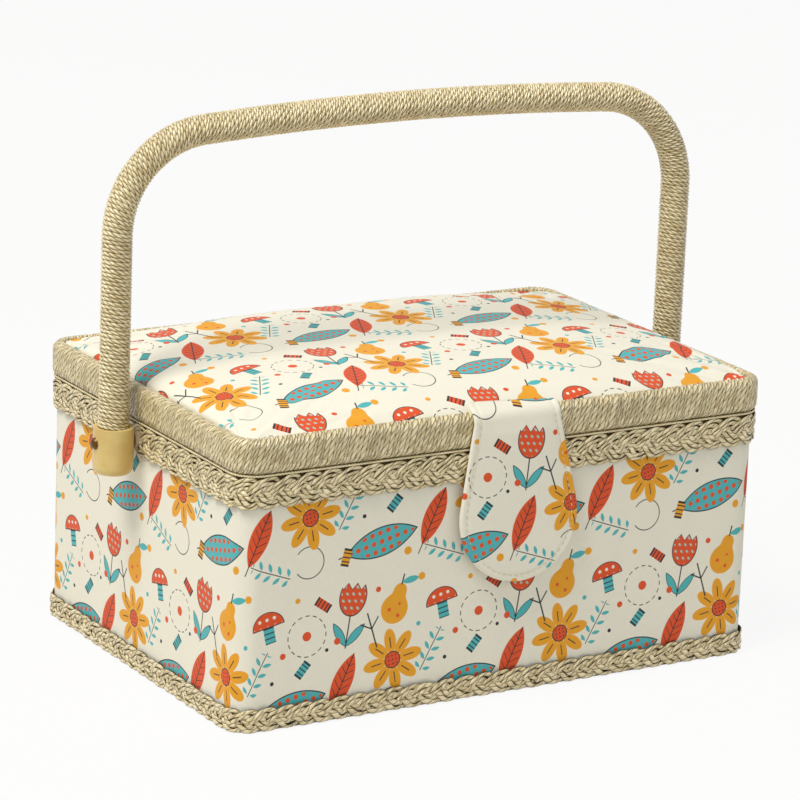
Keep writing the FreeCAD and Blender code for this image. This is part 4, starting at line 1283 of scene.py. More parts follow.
@dataclass
class WoundHandle:
    """Twisted straw cord wound round the handle's core."""

    cord: float = 2.0 * MM
    lay: float = 7.0 * MM
    tilt: float = 1.3 * MM
    rows: int = 5
    around: int = 62
    trace_step: float = 0.5 * MM
    looseness: float = 0.1
    lay_offset: float = 0.25

    def build(self) -> bpy.types.Object:
        """Make the winding as one long strip.

        A turn's far edge is the next turn's near edge. A point's distance along the
        handle is its turn number times the cord's width, less the tilt times the sine
        of its angle, and its height over the core is the relief of the twisted cord.

        Returns:
            The piece.
        """
        low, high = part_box("handle_wrap")
        radius = (high.y - low.y) / 2
        middle_y = (high.y + low.y) / 2
        line = HandleLine(high.x - radius, low.z, high.z - radius)
        trace, headings = line.trace(self.trace_step)
        whole = trace[-1, 0]
        turns = math.floor(whole / self.cord) - 1
        columns = turns * self.around
        count = columns + self.around + 1
        across = shares(self.rows)[:, None] - 0.5
        turn = np.arange(count) / self.around
        angle = TURN * turn
        turn_lays = round(TURN * (radius - self.cord / 2) / self.lay) + self.lay_offset
        knots = turns + 4
        loose = np.interp(turn, np.arange(knots), np.random.default_rng(5).uniform(
            -self.looseness, self.looseness, knots))
        place = (turn + across + 0.5 + loose) * self.cord - self.tilt * np.sin(angle)
        place = np.clip(place, 0, whole)
        lays = turn_lays * turn + 1.5 * loose
        height = twisted_relief(across, lays)
        reach = radius - 0.5 * self.cord * (1 - height)
        x, z = (np.interp(place, trace[:, 0], trace[:, part]) for part in (1, 2))
        heading = np.interp(place, trace[:, 0], headings)
        side = -np.sin(angle) * reach
        points = stacked(x - np.sin(heading) * side, middle_y - np.cos(angle) * reach,
                         z + np.cos(heading) * side)
        number = np.arange(self.rows * count).reshape(self.rows, count)
        near = number[:, :columns + 1]
        far = np.concatenate([near[1:], number[:1, self.around:self.around + columns + 1]])
        faces = np.stack([near[:, :-1], near[:, 1:], far[:, 1:], far[:, :-1]], -1).reshape(-1, 4)
        full = stacked(lays * self.lay, (shares(self.rows, 1)[:, None] - 0.5) * self.cord)
        row, column = np.indices((self.rows, columns))
        uv = full[np.stack([row, row, row + 1, row + 1], -1),
                  np.stack([column, column + 1, column + 1, column], -1)]
        ply = np.floor(lays * 2 + 0.5).astype(int)
        tone = np.random.default_rng(9).uniform(0, 1, ply.max() + 2)[ply]
        # The hollow mark paints shade into the low places between plies.
        made = make_mesh("wound_handle", points.reshape(-1, 3), faces, uv.reshape(-1, 2),
                         {"hollow_shade": gap_shade(height),
                          "tone": np.broadcast_to(tone, height.shape)})
        with edited(made) as work:
            bmesh.ops.delete(work, geom=[point for point in work.verts if not point.link_faces],
                             context="VERTS")
            fill_holes(work)
            bmesh.ops.recalc_face_normals(work, faces=work.faces)
        return made


@dataclass
class SeamCord:
    """The thin twisted cord under the rim."""

    lay: float = 3.4 * MM
    around: int = 6
    ring: float = 0.7 * MM
    tone: float = 0.75

    def build(self) -> bpy.types.Object:
        """Make two plies, each a tube that winds about the cord's middle."""
        low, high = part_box("seam_cord")
        radius = (high.z - low.z) / 2
        inset = RIM.half_x - high.x + radius
        rings = round(RIM.length / self.ring)
        share = shares(rings)[:, None]
        turn = TURN * (round(RIM.length / self.lay) * share + shares(2)[:, None, None])
        cosine, sine = circle(self.around)
        out = radius * 0.48 * np.cos(turn) + radius * 0.52 * cosine
        up = radius * 0.48 * np.sin(turn) + radius * 0.52 * sine
        points = RIM.band(share * RIM.length, inset - out, (low.z + high.z) / 2 + up)
        uv = stacked(shares(rings, 1)[:, None] * RIM.length, shares(self.around, 1) * 2 * MM)
        # Painted shade: darker on the parts of the plies that lie further back towards the wall.
        hollow_shade = np.clip(0.5 - out / radius, 0, 1)
        return make_surface("seam_cord_twist", points, (True, True), uv,
                            {"hollow_shade": hollow_shade, "tone": np.full(out.shape, self.tone)})


@dataclass
class Wrap:
    """A cloth carried round the walls, its profile given from end to end."""

    name: str
    profile: tuple
    step: float = 2.0 * MM
    row: float = 4.0 * MM
    sway: float = 0.12 * MM
    seed: int = 20
    waves: tuple = (20, 70)
    flip: bool = False

    def build(self) -> bpy.types.Object:
        """Carry the profile of inset and height along the rim line, swaying slightly."""
        keys = np.array(self.profile) * MM
        reach = travelled(keys)
        travel = np.unique(np.concatenate([reach, np.arange(0, reach[-1], self.row)]))[:, None]
        columns = round(RIM.length / self.step)
        share = shares(columns)
        fade = np.sin(math.pi * ramp(travel, 0, reach[-1])) ** 0.5
        sway = ripple(share, self.seed, *self.waves)
        sway = sway + 0.6 * ripple(share + 0.3 * travel, self.seed + 1, 5, 24)
        points = RIM.band(share * RIM.length,
                          np.interp(travel, reach, keys[:, 0]) + self.sway * fade * sway,
                          np.interp(travel, reach, keys[:, 1]))
        uv = stacked(shares(columns, 1) * RIM.length, travel)
        return make_surface(self.name, points, (False, True), uv, flip=self.flip)


def rounded_plan(half_x: float, half_y: float, corner: float, columns: int, rows: int,
                 crowd: float = 0.0) -> tuple:
    """Spread a grid over a rounded rectangle.

    The grid is a plain one, except that each corner square is drawn in to a quarter
    disc: X times the root of 1 - Y squared / 2, and the same the other way round.

    Args:
        half_x: half of its length.
        half_y: half of its width.
        corner: radius of its corners.
        columns: points along X.
        rows: points along Y.
        crowd: from 0, even, to 1, crowded towards the edges as a sine.

    Returns:
        X and Y, each of shape (rows, columns).
    """
    def spread(count: int) -> np.ndarray:
        """Give shares from -1 to 1."""
        even = np.linspace(-1, 1, count)
        return (1 - crowd) * even + crowd * np.sin(even * math.pi / 2)

    x, y = np.meshgrid(half_x * spread(columns), half_y * spread(rows))
    p = ramp(np.abs(x), half_x - corner, corner)
    q = ramp(np.abs(y), half_y - corner, corner)
    inner_x = np.minimum(np.abs(x), half_x - corner)
    inner_y = np.minimum(np.abs(y), half_y - corner)
    return (np.sign(x) * (inner_x + corner * p * np.sqrt(1 - q ** 2 / 2)),
            np.sign(y) * (inner_y + corner * q * np.sqrt(1 - p ** 2 / 2)))


def add_thickness(piece: bpy.types.Object, thickness: float) -> None:
    """Give a sheet its thickness with a modifier."""
    solid = piece.modifiers.new("Thickness", "SOLIDIFY")
    solid.thickness = thickness
    solid.offset = -1.0
    solid.use_even_offset = False


def make_pad(name: str, x: np.ndarray, y: np.ndarray, top: np.ndarray,
             bottom: float) -> bpy.types.Object:
    """Make a pad, flat below, whose top comes down to its base at the edge.

    Args:
        name: name of the piece.
        x: grid of places along it.
        y: grid of places across it.
        top: height of the top at each place.
        bottom: height of its base.

    Returns:
        The piece.
    """
    layers = [stacked(x, y, np.where(border(x), bottom, top)), stacked(x, y, bottom)]
    made = make_surface(name, np.stack(layers), uv=stacked(x, y))
    weld(made)
    return made


@dataclass
class PaddedTop:
    """Printed cloth drawn over the padding of the lid."""

    rise: float = 16 * MM
    base_drop: float = 4 * MM
    reach: float = 4 * MM
    power_x: float = 3.6
    power_y: float = 4.4
    power_edge: float = 0.57
    inset: float = 6.0 * MM
    swell: float = 1.4 * MM
    roll: float = 3.0 * MM
    roll_inset: float = 8.6 * MM
    roll_width: float = 14.0 * MM
    pucker: float = 0.55 * MM
    pucker_reach: float = 13 * MM
    edge_drop: float = 3.4 * MM
    cloth_gap: float = 3.2 * MM
    pad_inset: float = 7.4 * MM
    pressure: float = 3.0

    def height(self, x: np.ndarray, y: np.ndarray) -> np.ndarray:
        """Height of the crown: one less a power of X, times one less a power of Y.

        The padding is fuller along both ends.
        """
        across = np.abs(x) / (RIM.half_x - self.reach)
        back = np.abs(y) / (RIM.half_y - self.reach)
        fullness = (1 - across ** self.power_x) * (1 - back ** self.power_y)
        crown = np.clip(fullness, 0, 1) ** self.power_edge
        inside = RIM.half_x - np.abs(x) - self.roll_inset
        width = np.where(inside > 0, self.roll_width, self.roll_inset / 2)
        roll = self.roll * np.exp(-(inside / width) ** 2) * np.clip(1 - back ** 4, 0, 1) ** 0.25
        return RIM_TOP - self.base_drop + self.rise * crown + roll

    def puckers(self, x: np.ndarray, y: np.ndarray) -> np.ndarray:
        """Small folds that run in from the edge: a ripple round it, fading inwards."""
        edge = np.minimum(RIM.half_x - np.abs(x), RIM.half_y - np.abs(y))
        corner = np.clip(np.abs(x) / RIM.half_x + np.abs(y) / RIM.half_y - 1.3, 0, 1) / 0.7
        depth = self.pucker * (0.35 + 1.5 * corner) * np.exp(-edge / self.pucker_reach)
        return depth * ripple(bearing(x, y), 61, 34, 78, 16)

    def cover(self) -> bpy.types.Object:
        """Make the cloth: a grid on the crown, swollen as cloth under pressure."""
        columns, rows = 150, 110
        x, y = rounded_plan(RIM.half_x - self.inset, RIM.half_y - self.inset,
                            RIM_CORNER - self.inset, columns, rows, 0.75)
        sink = self.swell * 0.8
        edge = border(x)
        z = np.where(edge, RIM_TOP - self.edge_drop, self.height(x, y) + self.puckers(x, y) - sink)
        points = stacked(x, y, z)
        u, v = travelled(points.swapaxes(0, 1)).T, travelled(points)
        u, v = u - u[:, columns // 2][:, None], v - v[rows // 2][None, :]
        made = make_surface("lid_cover", points, uv=stacked(u, v))
        inflate(made, edge.ravel(), self.pressure, self.swell)
        add_thickness(made, PRINT_THICK)
        return made

    def wadding(self) -> bpy.types.Object:
        """Make the padding under the cloth, flat below and crowned above."""
        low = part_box("lid_pad")[0].z
        x, y = rounded_plan(RIM.half_x - self.pad_inset, RIM.half_y - self.pad_inset, 7 * MM,
                            60, 44, 0.6)
        top = np.maximum(self.height(x, y) - self.cloth_gap, low + 0.5 * MM)
        return make_pad("lid_wadding", x, y, top, low)


@dataclass
class Tongue:
    """The padded flap: over the rim's edge, down the front, round at its end."""

    top_width: float = 49 * MM
    round_radius: float = 33.5 * MM
    thickness: float = 2.5 * MM
    fold_thickness: float = 1.7 * MM
    askew: float = 3.5
    side_lean: float = 9.5
    straight_top: float = 139.5 * MM
    shift: float = 0.4 * MM
    climb: float = 3.2 * MM
    climb_length: float = 5 * MM
    tuck: float = -0.8 * MM
    fold_radius: float = 5.0 * MM
    fold_length: float = 8 * MM
    front_gap: float = 1.3 * MM
    hang_low: float = 1.2 * MM
    stitch_inset: float = 3.5 * MM
    stitch_start: float = 7 * MM
    stitch: float = 2.5 * MM
    stitch_gap: float = 0.9 * MM
    thread_radius: float = 0.27 * MM
    thread_bow: float = 0.32 * MM
    thread_sink: float = 0.36 * MM
    edge_round: float = 1.5 * MM
    groove: float = 0.32 * MM
    groove_width: float = 0.9 * MM
    crown: float = 0.5 * MM
    crown_reach: float = 14 * MM
    pucker_pitch: float = 3.4 * MM
    ease: float = 0.35 * MM
    print_at: tuple = (0.031, 0.16)

    def __post_init__(self) -> None:
        """Read the places that the frame gives."""
        root_low, root_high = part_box("flap_root")
        front_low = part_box("flap_front")[0]
        self.root_y = root_high.y + self.tuck
        self.root_z = (root_low.z + root_high.z) / 2
        self.plate_y = front_low.y + self.front_gap
        self.fold_z = self.root_z - self.fold_radius
        self.round_z = front_low.z - self.hang_low + self.round_radius
        self.flat = self.root_y - self.plate_y - self.fold_radius
        self.bend = self.flat + self.fold_radius * math.pi / 2
        self.to_round = self.bend + self.fold_z - self.round_z

    def half_width(self, z: np.ndarray) -> np.ndarray:
        """Half of the flap's width at a height: a circle below, straight sides above."""
        lean = math.radians(self.side_lean)
        touch_z = self.round_z + self.round_radius * math.sin(lean)
        touch_x = self.round_radius * math.cos(lean)
        up = ramp(z, touch_z, self.straight_top - touch_z)
        straight = touch_x + (self.top_width / 2 - touch_x) * up
        below = np.sqrt(np.clip(self.round_radius ** 2 - (z - self.round_z) ** 2, 0, None))
        return np.where(z > touch_z, straight, below)

    def half_cut(self, down: np.ndarray) -> np.ndarray:
        """Half of the cut's width at a distance from the root, even over the fold."""
        hanging = self.half_width(self.spine(down)[1])
        return np.where(down < self.bend + 2 * MM, self.top_width / 2, hanging)

    def settle(self, down: np.ndarray) -> np.ndarray:
        """Rise from 0 at the fold to 1 where the flap hangs."""
        return ramp(down, self.fold_length, self.fold_length)

    def half_thick(self, down: np.ndarray) -> np.ndarray:
        """Half of the flap's thickness, fuller where it hangs."""
        fuller = (self.thickness - self.fold_thickness) * self.settle(down)
        return (self.fold_thickness + fuller) / 2

    def spine(self, down: np.ndarray) -> tuple:
        """Follow the flap's middle layer: flat on the rim, a quarter turn, then down.

        Args:
            down: distance from the root.

        Returns:
            Y, Z and the angle of the outward direction from straight up.
        """
        angle = np.clip((down - self.flat) / self.fold_radius, 0, math.pi / 2)
        y = self.root_y - np.clip(down, 0, self.flat) - self.fold_radius * np.sin(angle)
        z = self.fold_z + self.fold_radius * np.cos(angle) - np.clip(down - self.bend, 0, None)
        return y, z, angle

    def solid(self, x: np.ndarray, down: np.ndarray, lift: np.ndarray) -> np.ndarray:
        """Place points of the flat cut on the hanging flap.

        Args:
            x: place across the cut.
            down: distance from the root.
            lift: height over the middle layer.

        Returns:
            The points, with the flap hanging slightly askew.
        """
        y, z, angle = self.spine(down)
        rise = self.climb * np.clip(0.5 - x / self.top_width, 0, 1)
        z = z + rise * (1 - ramp(down, 0, self.climb_length)) ** 2
        slant = math.tan(math.radians(self.askew)) * np.clip(down - self.fold_length, 0, None)
        return stacked(x + self.shift + slant, y - np.sin(angle) * lift, z + np.cos(angle) * lift)

    def edge_distance(self, x: np.ndarray, down: np.ndarray) -> np.ndarray:
        """Distance from the flap's sides and end, measured on the cut."""
        z = self.spine(down)[1]
        side = self.half_width(np.maximum(z, self.round_z)) - np.abs(x)
        end = self.round_radius - np.hypot(x, z - self.round_z)
        return np.where(z < self.round_z, end, side)

    def cut(self, across: np.ndarray, rows: int) -> tuple:
        """Spread a grid over the flat cut, its last rows drawn in to a half disc."""
        upper = np.linspace(0, self.to_round, rows)[:, None]
        x_upper = across * self.half_cut(upper)
        q = np.linspace(0, 1, rows // 2)[1:, None]
        x_lower = self.round_radius * across * np.sqrt(1 - q ** 2 / 2)
        down_lower = self.to_round + self.round_radius * q * np.sqrt(1 - across ** 2 / 2)
        return (np.concatenate([x_upper, x_lower]),
                np.concatenate([np.broadcast_to(upper, x_upper.shape), down_lower]))

    def build(self) -> bpy.types.Object:
        """Make the flap.

        Two layers meet at the edge; between them the thickness grows as a root of the
        distance from the edge, with a groove along the stitching and a soft crown.

        Returns:
            The piece.
        """
        x, down = self.cut(np.sin(np.linspace(-1, 1, 64) * math.pi / 2), 70)
        edge = np.clip(self.edge_distance(x, down), 0, None)
        round_off = dome(ramp(edge, 0, self.edge_round))
        groove = self.groove * np.exp(-((edge - self.stitch_inset) / self.groove_width) ** 2)
        inside = ramp(edge, self.stitch_inset, self.crown_reach)
        crown = self.crown * np.sin(inside * math.pi / 2)
        pucker = 1 + 0.3 * np.sin(down * TURN / self.pucker_pitch + 0.3 * x / MM)
        half = round_off * (self.half_thick(down) - groove * pucker)
        settle = self.settle(down)
        ease = self.ease * np.sin(x / (11 * MM) + 1.0) * np.sin(down / (17 * MM))
        ease = ease * settle * round_off
        front = self.solid(x, down, half + crown * settle + ease)
        back = self.solid(x, down, ease / 2 - half)
        rim = edge < 1e-7
        back[rim] = front[rim]
        uv = stacked(self.print_at[0] + x, self.print_at[1] - down)
        made = make_surface("flap_tongue", np.stack([front, back[:, ::-1]]),
                            uv=np.stack([uv, uv[:, ::-1]]))
        weld(made, 0.004 * MM)
        close_holes(made)
        return made

    def stitching(self) -> bpy.types.Object:
        """Make the topstitches: short rods in a row inside the edge."""
        side = np.linspace(self.stitch_start, self.to_round, 200)
        wide = self.half_cut(side) - self.stitch_inset
        turn = np.linspace(0, math.pi, 200)[1:-1]
        radius = self.round_radius - self.stitch_inset
        x = np.concatenate([-wide, -radius * np.cos(turn), wide[::-1]])
        down = np.concatenate([side, self.to_round + radius * np.sin(turn), side[::-1]])
        travel = travelled(stacked(x, down))
        count = int(travel[-1] / (self.stitch + self.stitch_gap))
        taper = np.array([0.05, 0.75, 1.0, 1.0, 0.75, 0.05])
        along = np.linspace(0, 1, len(taper))
        around = 6
        place = np.arange(count)[:, None] * travel[-1] / count + along * self.stitch
        ring_x, ring_down = (np.interp(place, travel, line) for line in (x, down))
        ahead = place + 0.1 * MM
        ahead_x = np.interp(ahead, travel, x) - ring_x
        ahead_down = np.interp(ahead, travel, down) - ring_down
        length = np.hypot(ahead_x, ahead_down)
        lift = self.half_thick(ring_down) - self.thread_sink
        lift = lift + self.thread_bow * np.sin(math.pi * along)
        cosine, sine = circle(around)
        fat = self.thread_radius * taper[:, None]
        points = self.solid(ring_x[..., None] + (ahead_down / length)[..., None] * fat * cosine,
                            ring_down[..., None] - (ahead_x / length)[..., None] * fat * cosine,
                            lift[..., None] + fat * sine)
        uv = stacked(place[..., None], shares(around, 1) * 2 * MM)
        made = make_surface("flap_stitching", points, (False, True), uv)
        close_holes(made)
        weld(made, 0.0001 * MM)
        return made


@dataclass
class LidInside:
    """Satin under the lid, the gathered pocket and the pincushion."""

    satin_inset: float = 6.6 * MM
    satin_corner: float = 7 * MM
    satin_thick: float = 0.4 * MM
    pocket_thick: float = 0.35 * MM
    pucker: float = 0.3 * MM
    pucker_reach: float = 9 * MM
    fullness: float = 1.6
    sag: float = 0.62
    gather: float = 0.8 * MM
    fold: float = 0.55 * MM
    pressure: float = 4.0
    swell: float = 0.9 * MM

    def lining(self) -> bpy.types.Object:
        """Make the satin: a flat sheet, gently puckered towards its edge."""
        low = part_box("lid_lining")[0]
        half_x, half_y = RIM.half_x - self.satin_inset, RIM.half_y - self.satin_inset
        x, y = rounded_plan(half_x, half_y, self.satin_corner, 190, 130, 0.5)
        edge = np.minimum(half_x - np.abs(x), half_y - np.abs(y))
        pucker = np.clip(ripple(bearing(x, y), 31, 50, 90, 14), -1, 1)
        pucker = pucker * np.exp(-edge / self.pucker_reach)
        z = low.z + 0.35 * MM - self.pucker * pucker * (edge > 1 * MM)
        z = z + 0.1 * MM * np.sin(x * 60) * np.sin(y * 75)
        made = make_surface("lid_satin", stacked(x, y, z), uv=stacked(x, y), flip=True)
        add_thickness(made, self.satin_thick)
        return made

    def pocket(self) -> bpy.types.Object:
        """Make the pocket.

        It hangs as a shallow bow between its mouth and its sewn end; its gathers are
        sines across it, deepest at the mouth and fading towards the sewn end.

        Returns:
            The piece.
        """
        low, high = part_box("lid_pocket")
        share = np.linspace(-1, 1, 420)
        down = np.linspace(0, 1, 60)[:, None]
        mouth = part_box("pocket_elastic")[1].y - 2 * MM
        x = share * (high.x - 0.5 * MM)
        y = mouth + (high.y - mouth) * down
        fall = np.sin(math.pi * np.clip(down * 0.86 + 0.1, 0, 1)) * (high.z - low.z) * self.sag
        ends = ramp(1 - np.abs(share), 0, 0.03) ** 0.5
        wander = 0.8 * np.sin(x / (9 * MM)) + 2.0 * down * np.sin(x / (21 * MM))
        gather = np.sin(x / (1.5 * MM) + wander)
        coarse = np.sin(x / (5.2 * MM) + 1.4 * np.sin(x / (17 * MM)))
        depth = self.gather * np.exp(-down / 0.2) + 0.12 * MM * np.exp(-(1 - down) / 0.08)
        hang = (fall + gather * depth + self.fold * coarse * np.exp(-down / 0.5)) * ends
        z = high.z - 0.45 * MM - np.clip(hang, 0, None)
        made = make_surface("gathered_pocket", stacked(x, y, z), uv=stacked(x * self.fullness, y),
                            flip=True)
        add_thickness(made, self.pocket_thick)
        return made

    def elastic(self) -> bpy.types.Object:
        """Make the gathered mouth: a tube whose radius ripples with the gathers."""
        low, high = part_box("pocket_elastic")
        radius = (high.y - low.y) / 2
        around = 14
        share = np.linspace(0, 1, 620)[:, None]
        x = low.x + share * (high.x - low.x)
        ridge = np.sin(x / (0.85 * MM) + 0.9 * np.sin(x / (7 * MM)))
        size = radius * (0.86 + 0.13 * ridge) * np.sqrt(1 - np.abs(2 * share - 1) ** 60)
        cosine, sine = circle(around)
        points = stacked(x, (low.y + high.y) / 2 + size * cosine,
                         (low.z + high.z) / 2 + size * 0.95 * sine)
        uv = stacked(x * self.fullness, shares(around, 1) * TURN * radius)
        made = make_surface("pocket_mouth", points, (False, True), uv, flip=True)
        weld(made)
        close_holes(made)
        return made

    def cushion(self) -> bpy.types.Object:
        """Make the pincushion.

        A squashed half ball under the satin, drawn in along eight lines that meet at
        its lowest point, then swollen as cloth under pressure.

        Returns:
            The piece.
        """
        low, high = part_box("pincushion")
        radius, tall = (high.x - low.x) / 2, high.z - low.z
        around = 96
        share = np.linspace(0, 1, 40)[:, None]
        angle, full = TURN * shares(around), TURN * shares(around, 1)
        bend = share * math.pi / 2
        drawn = 1 - np.abs(np.sin(angle * 4)) ** 0.35
        tuck = 1 - 0.07 * drawn * np.sin(share * math.pi) ** 0.5
        reach = (radius - 1.2 * MM) * np.sin(bend) ** 0.55 * tuck
        reach = reach * (0.93 + 0.07 * np.sin(share * math.pi * 0.8))
        drop = (tall - 1.0 * MM) * np.cos(bend) ** 0.7 * (1 - 0.1 * drawn)
        drop = drop - 1.6 * MM * np.exp(-(share / 0.08) ** 2)
        points = stacked(reach * np.cos(angle), (low.y + high.y) / 2 + reach * np.sin(angle),
                         high.z - drop)
        uv = stacked(share * radius * np.cos(full), share * radius * np.sin(full))
        made = make_surface("stuffed_pincushion", points, (False, True), uv)
        weld(made)
        close_holes(made)
        weld(made)
        held = read_points(made)[:, 2] > high.z - 0.4 * MM
        inflate(made, held, self.pressure, self.swell)
        return made

    def cushion_ring(self) -> bpy.types.Object:
        """Make the covered ring round the pincushion: a ring whose edge is gathered."""
        low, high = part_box("pincushion_base")
        radius = (high.x - low.x) / 2
        around, across = 300, 10
        angle = TURN * shares(around)[:, None]
        cosine, sine = circle(across)
        ridge = 1 + 0.08 * np.sin(angle * 75)
        reach = radius - 2.6 * MM + 2.5 * MM * cosine * ridge
        points = stacked(reach * np.cos(angle), (low.y + high.y) / 2 + reach * np.sin(angle),
                         (low.z + high.z) / 2 + (high.z - low.z) / 2 * sine * 0.98)
        uv = stacked(TURN * radius * shares(around, 1)[:, None], 12 * MM * shares(across, 1))
        return make_surface("pincushion_ring", points, (True, True), uv)


@dataclass
class FloorPad:
    """Padded satin on the floor of the box."""

    quilt: float = 36 * MM
    shoulder: float = 6 * MM
    inset: float = 0.3 * MM
    corner: float = 6.5 * MM

    def build(self) -> bpy.types.Object:
        """Make the pad: flat below, and above a quilted crown drawn down at its edge."""
        low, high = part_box("floor_pad")
        x, y = rounded_plan(high.x - self.inset, high.y - self.inset, self.corner, 110, 80, 0.5)
        rise = ramp(np.minimum(high.x - np.abs(x), high.y - np.abs(y)), 0, self.shoulder)
        wave = math.pi / self.quilt
        cell = np.abs(np.sin((x + y) * wave) * np.sin((x - y) * wave))
        full = (high.z - low.z) * (0.35 + 0.4 * dome(rise) + 0.25 * cell ** 0.35)
        return make_pad("quilted_floor", x, y, low.z + full, low.z)


@dataclass
class Studio:
    """The camera, the floor and the light."""

    azimuth: float = -31.11
    elevation: float = 15.475
    roll: float = 2.193
    distance: float = 2051.177 * MM
    aim_x: float = -1.683 * MM
    aim_z: float = 122.625 * MM
    focal_pixels: float = 4074.705
    photo_pixels: float = 800.0
    sensor: float = 36.0
    floor_half: float = 6.0
    floor_drop: float = 0.2 * MM
    floor_glow: float = 0.9

    WHITE = (1.0, 1.0, 1.0, 1.0)
    AMBIENT = (0.455, 0.455, 0.45, 1.0)

    def camera(self) -> None:
        """Set the camera at the photograph's angle."""
        azimuth, elevation, roll = (math.radians(value) for value in
                                    (self.azimuth, self.elevation, self.roll))
        back = Vector((math.sin(azimuth) * math.cos(elevation),
                       -math.cos(azimuth) * math.cos(elevation), math.sin(elevation)))
        right = (-back).cross(Vector((0, 0, 1))).normalized()
        up = back.cross(right)
        turned_right = right * math.cos(roll) + up * math.sin(roll)
        turned_up = up * math.cos(roll) - right * math.sin(roll)
        data = bpy.data.cameras.new("photo_camera")
        data.sensor_width = self.sensor
        data.lens = self.focal_pixels * self.sensor / self.photo_pixels
        data.clip_start, data.clip_end = 0.05, 50.0
        camera = put("photo_camera", data)
        turn = Matrix((turned_right, turned_up, back)).transposed().to_4x4()
        place = Vector((self.aim_x, 0, self.aim_z)) + back * self.distance
        camera.matrix_world = Matrix.Translation(place) @ turn
        bpy.context.scene.camera = camera

    def floor(self) -> None:
        """Lay a pale floor that looks white and keeps the shadow."""
        sides = (-self.floor_half, self.floor_half)
        floor = make_surface("floor", stacked(*np.meshgrid(sides, sides), -self.floor_drop))
        graph = Graph("floor_paper")
        matt = graph.node("ShaderNodeBsdfDiffuse", {"Color": linear("E1E0DD")})
        white = graph.node("ShaderNodeEmission", {"Color": self.WHITE, "Strength": 1.0})
        blend = graph.node("ShaderNodeMixShader", {
            0: graph.seen() * self.floor_glow, 1: Field(graph, matt.outputs[0]),
            2: Field(graph, white.outputs[0])})
        floor.data.materials.append(graph.close(blend))

    def lamp(self, name: str, place: tuple, size: float, power: float, tone: str) -> None:
        """Hang a square soft light that points at the box.

        Args:
            name: its name.
            place: where it hangs.
            size: length of its side.
            power: its power.
            tone: its colour as hexadecimal digits.
        """
        data = bpy.data.lights.new(name, "AREA")
        data.size, data.energy = size, power
        data.color = linear(tone)[:3]
        lamp = put(name, data)
        lamp.location = place
        aim = Vector((0, 0, 0.12)) - Vector(place)
        lamp.rotation_euler = aim.to_track_quat("-Z", "Y").to_euler()

    def light(self) -> None:
        """Light the box softly from the upper left, over a plain white surround."""
        self.lamp("key", (-1.3, -0.35, 2.5), 1.1, 60.0, "FFFBF4")
        self.lamp("fill", (1.5, -2.2, 1.4), 0.9, 4.0, "FFFDF8")
        graph = Graph("surround", surround=True)
        tone = graph.mix(graph.seen(), self.AMBIENT, self.WHITE)
        scene = bpy.context.scene
        scene.world = graph.close(graph.node("ShaderNodeBackground", {0: tone}))
        scene.view_settings.view_transform = "Standard"


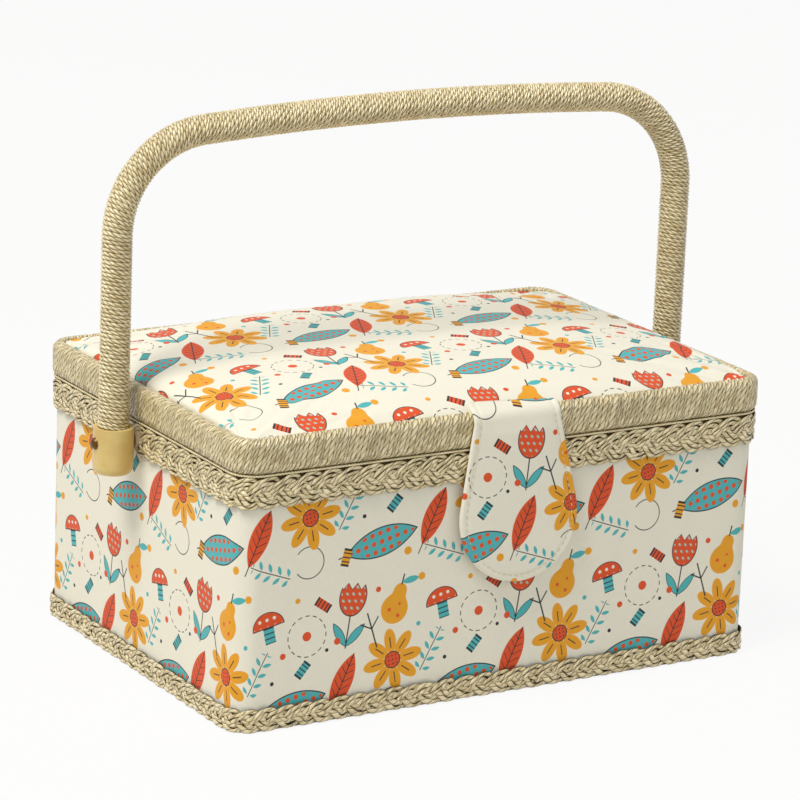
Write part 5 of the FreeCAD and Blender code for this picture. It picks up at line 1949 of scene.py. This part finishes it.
@dataclass
class SewingBox:
    """Builds the pieces in order, dresses them and puts them on their bodies."""

    wardrobe: Wardrobe

    def add(self, piece: bpy.types.Object, slot: Slot, body: Body, replaced: str,
            material: Optional[bpy.types.Material] = None) -> bpy.types.Object:
        """Dress a piece, let it ride and hide what it stands for.

        Args:
            piece: the piece.
            slot: its finish.
            body: the body that it rides on.
            replaced: the node that it stands for.
            material: another material than the slot's own.

        Returns:
            The piece.
        """
        self.wardrobe.dress(piece, slot, material)
        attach(piece, body.value)
        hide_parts(replaced)
        LOG.info("%s: %d points", piece.name, len(piece.data.vertices))
        return piece

    def walls(self) -> None:
        """Build the cloth, the plaits and the lining of the box, their profiles in mm."""
        inset = CLOTH_INSET / MM
        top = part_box("body_fabric")[1].z / MM
        profile = ((inset + 3, 0.85), (inset + 0.4, 0.85), (inset, 1.4), (inset, top - 1.2),
                   (inset + 0.3, top - 0.3), (inset + 1, top), (inset + 4.3, top),
                   (inset + 4.5, top - 0.6))
        cloth = self.add(Wrap("printed_wrap", profile).build(), Slot.PRINT, Body.BOX,
                         "body_fabric")
        add_thickness(cloth, PRINT_THICK)
        # The last number sets how far below a plait's top its dark sheet of painted shade stops.
        for name, node, period, seed, bundles, shade_tape_high in (
                ("lower_plait", "lower_braid", 30.0 * MM, 300, 2, 3.0 * MM),
                ("upper_plait", "upper_braid", 34.0 * MM, 500, 3, 0.2 * MM)):
            low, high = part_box(node)
            plait = Plait(name, low.z, high.z, period, seed, bundles, shade_tape_high)
            self.add(plait.build(), Slot.STRAW, Body.BOX, node, self.wardrobe.plait_straw)
        low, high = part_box("wall_lining")
        inner, foot, top = (RIM.half_x - high.x) / MM + 0.75, low.z / MM, high.z / MM
        profile = ((inner, foot - 1.0), (inner, top - 0.8), (inner - 0.4, top - 0.1))
        satin = Wrap("wall_satin", profile, sway=0.25 * MM, seed=40, waves=(60, 140), flip=True)
        lining = self.add(satin.build(), Slot.SATIN, Body.BOX, "wall_lining")
        add_thickness(lining, 0.5 * MM)
        self.add(FloorPad().build(), Slot.SATIN, Body.BOX, "floor_pad")

    def lid(self) -> None:
        """Build the rim, the padded top and the inside of the lid."""
        self.add(WoundRim().build(), Slot.STRAW, Body.LID, "rim_wrap", self.wardrobe.rim_straw)
        self.add(SeamCord().build(), Slot.STRAW, Body.LID, "seam_cord")
        top = PaddedTop()
        cover = self.add(top.cover(), Slot.PRINT, Body.LID, "lid_fabric")
        wadding = self.add(top.wadding(), Slot.WADDING, Body.LID, "lid_pad")
        inside = LidInside()
        lining = self.add(inside.lining(), Slot.SATIN, Body.LID, "lid_lining")
        pocket = self.add(inside.pocket(), Slot.SATIN, Body.LID, "lid_pocket")
        self.add(inside.elastic(), Slot.SATIN, Body.LID, "pocket_elastic")
        self.add(inside.cushion(), Slot.CUSHION, Body.LID, "pincushion")
        self.add(inside.cushion_ring(), Slot.SATIN, Body.LID, "pincushion_base")

    def flap(self) -> None:
        """Build the flap and its stitching, and hide the nodes that they stand for."""
        tongue = Tongue()
        cloth, stitches = tongue.build(), tongue.stitching()
        for piece, material in ((cloth, None), (stitches, self.wardrobe.thread)):
            self.wardrobe.dress(piece, Slot.PRINT, material)
            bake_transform(piece)
            LOG.info("%s: %d points", piece.name, len(piece.data.vertices))
        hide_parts("flap_root", "flap_front", "flap_backing")

    def handle(self) -> None:
        """Build the wound cord of the handle."""
        self.add(WoundHandle().build(), Slot.STRAW, Body.HANDLE, "handle_wrap",
                 self.wardrobe.handle_straw)

    def dress_nodes(self) -> None:
        """Dress the nodes that keep their own shape."""
        kept = {Slot.PAPER: ("base_cover",),
                Slot.BOARD: ("box_floor", "box_walls", "lid_frame", "lid_board", "flap_stiffener"),
                Slot.LEDGE: ("tray_ledges",),
                Slot.TRAY: ("tray_shell", "tray_dividers"),
                Slot.CAP: ("ferrule_right", "ferrule_left", "pivot_nuts"),
                Slot.BRONZE: ("pivot_screws",),
                Slot.SPACER: ("pivot_spacers",),
                Slot.BRASS: ("hinge_body_leaves", "hinge_lid_leaves", "hinge_pins",
                             "hinge_body_screws", "hinge_lid_screws"),
                Slot.SNAP: ("snap_stud", "snap_socket"),
                Slot.WOOD: ("handle_core",)}
        for slot, names in kept.items():
            for name in names:
                self.wardrobe.dress_node(name, slot)


def main() -> None:
    """Build the studio and the box."""
    logging.basicConfig(level=logging.INFO, format="%(name)s %(message)s")
    studio = Studio()
    studio.camera()
    studio.floor()
    studio.light()
    box = SewingBox(Wardrobe())
    box.dress_nodes()
    box.walls()
    box.lid()
    box.flap()
    box.handle()


if __name__ == "__main__":
    main()
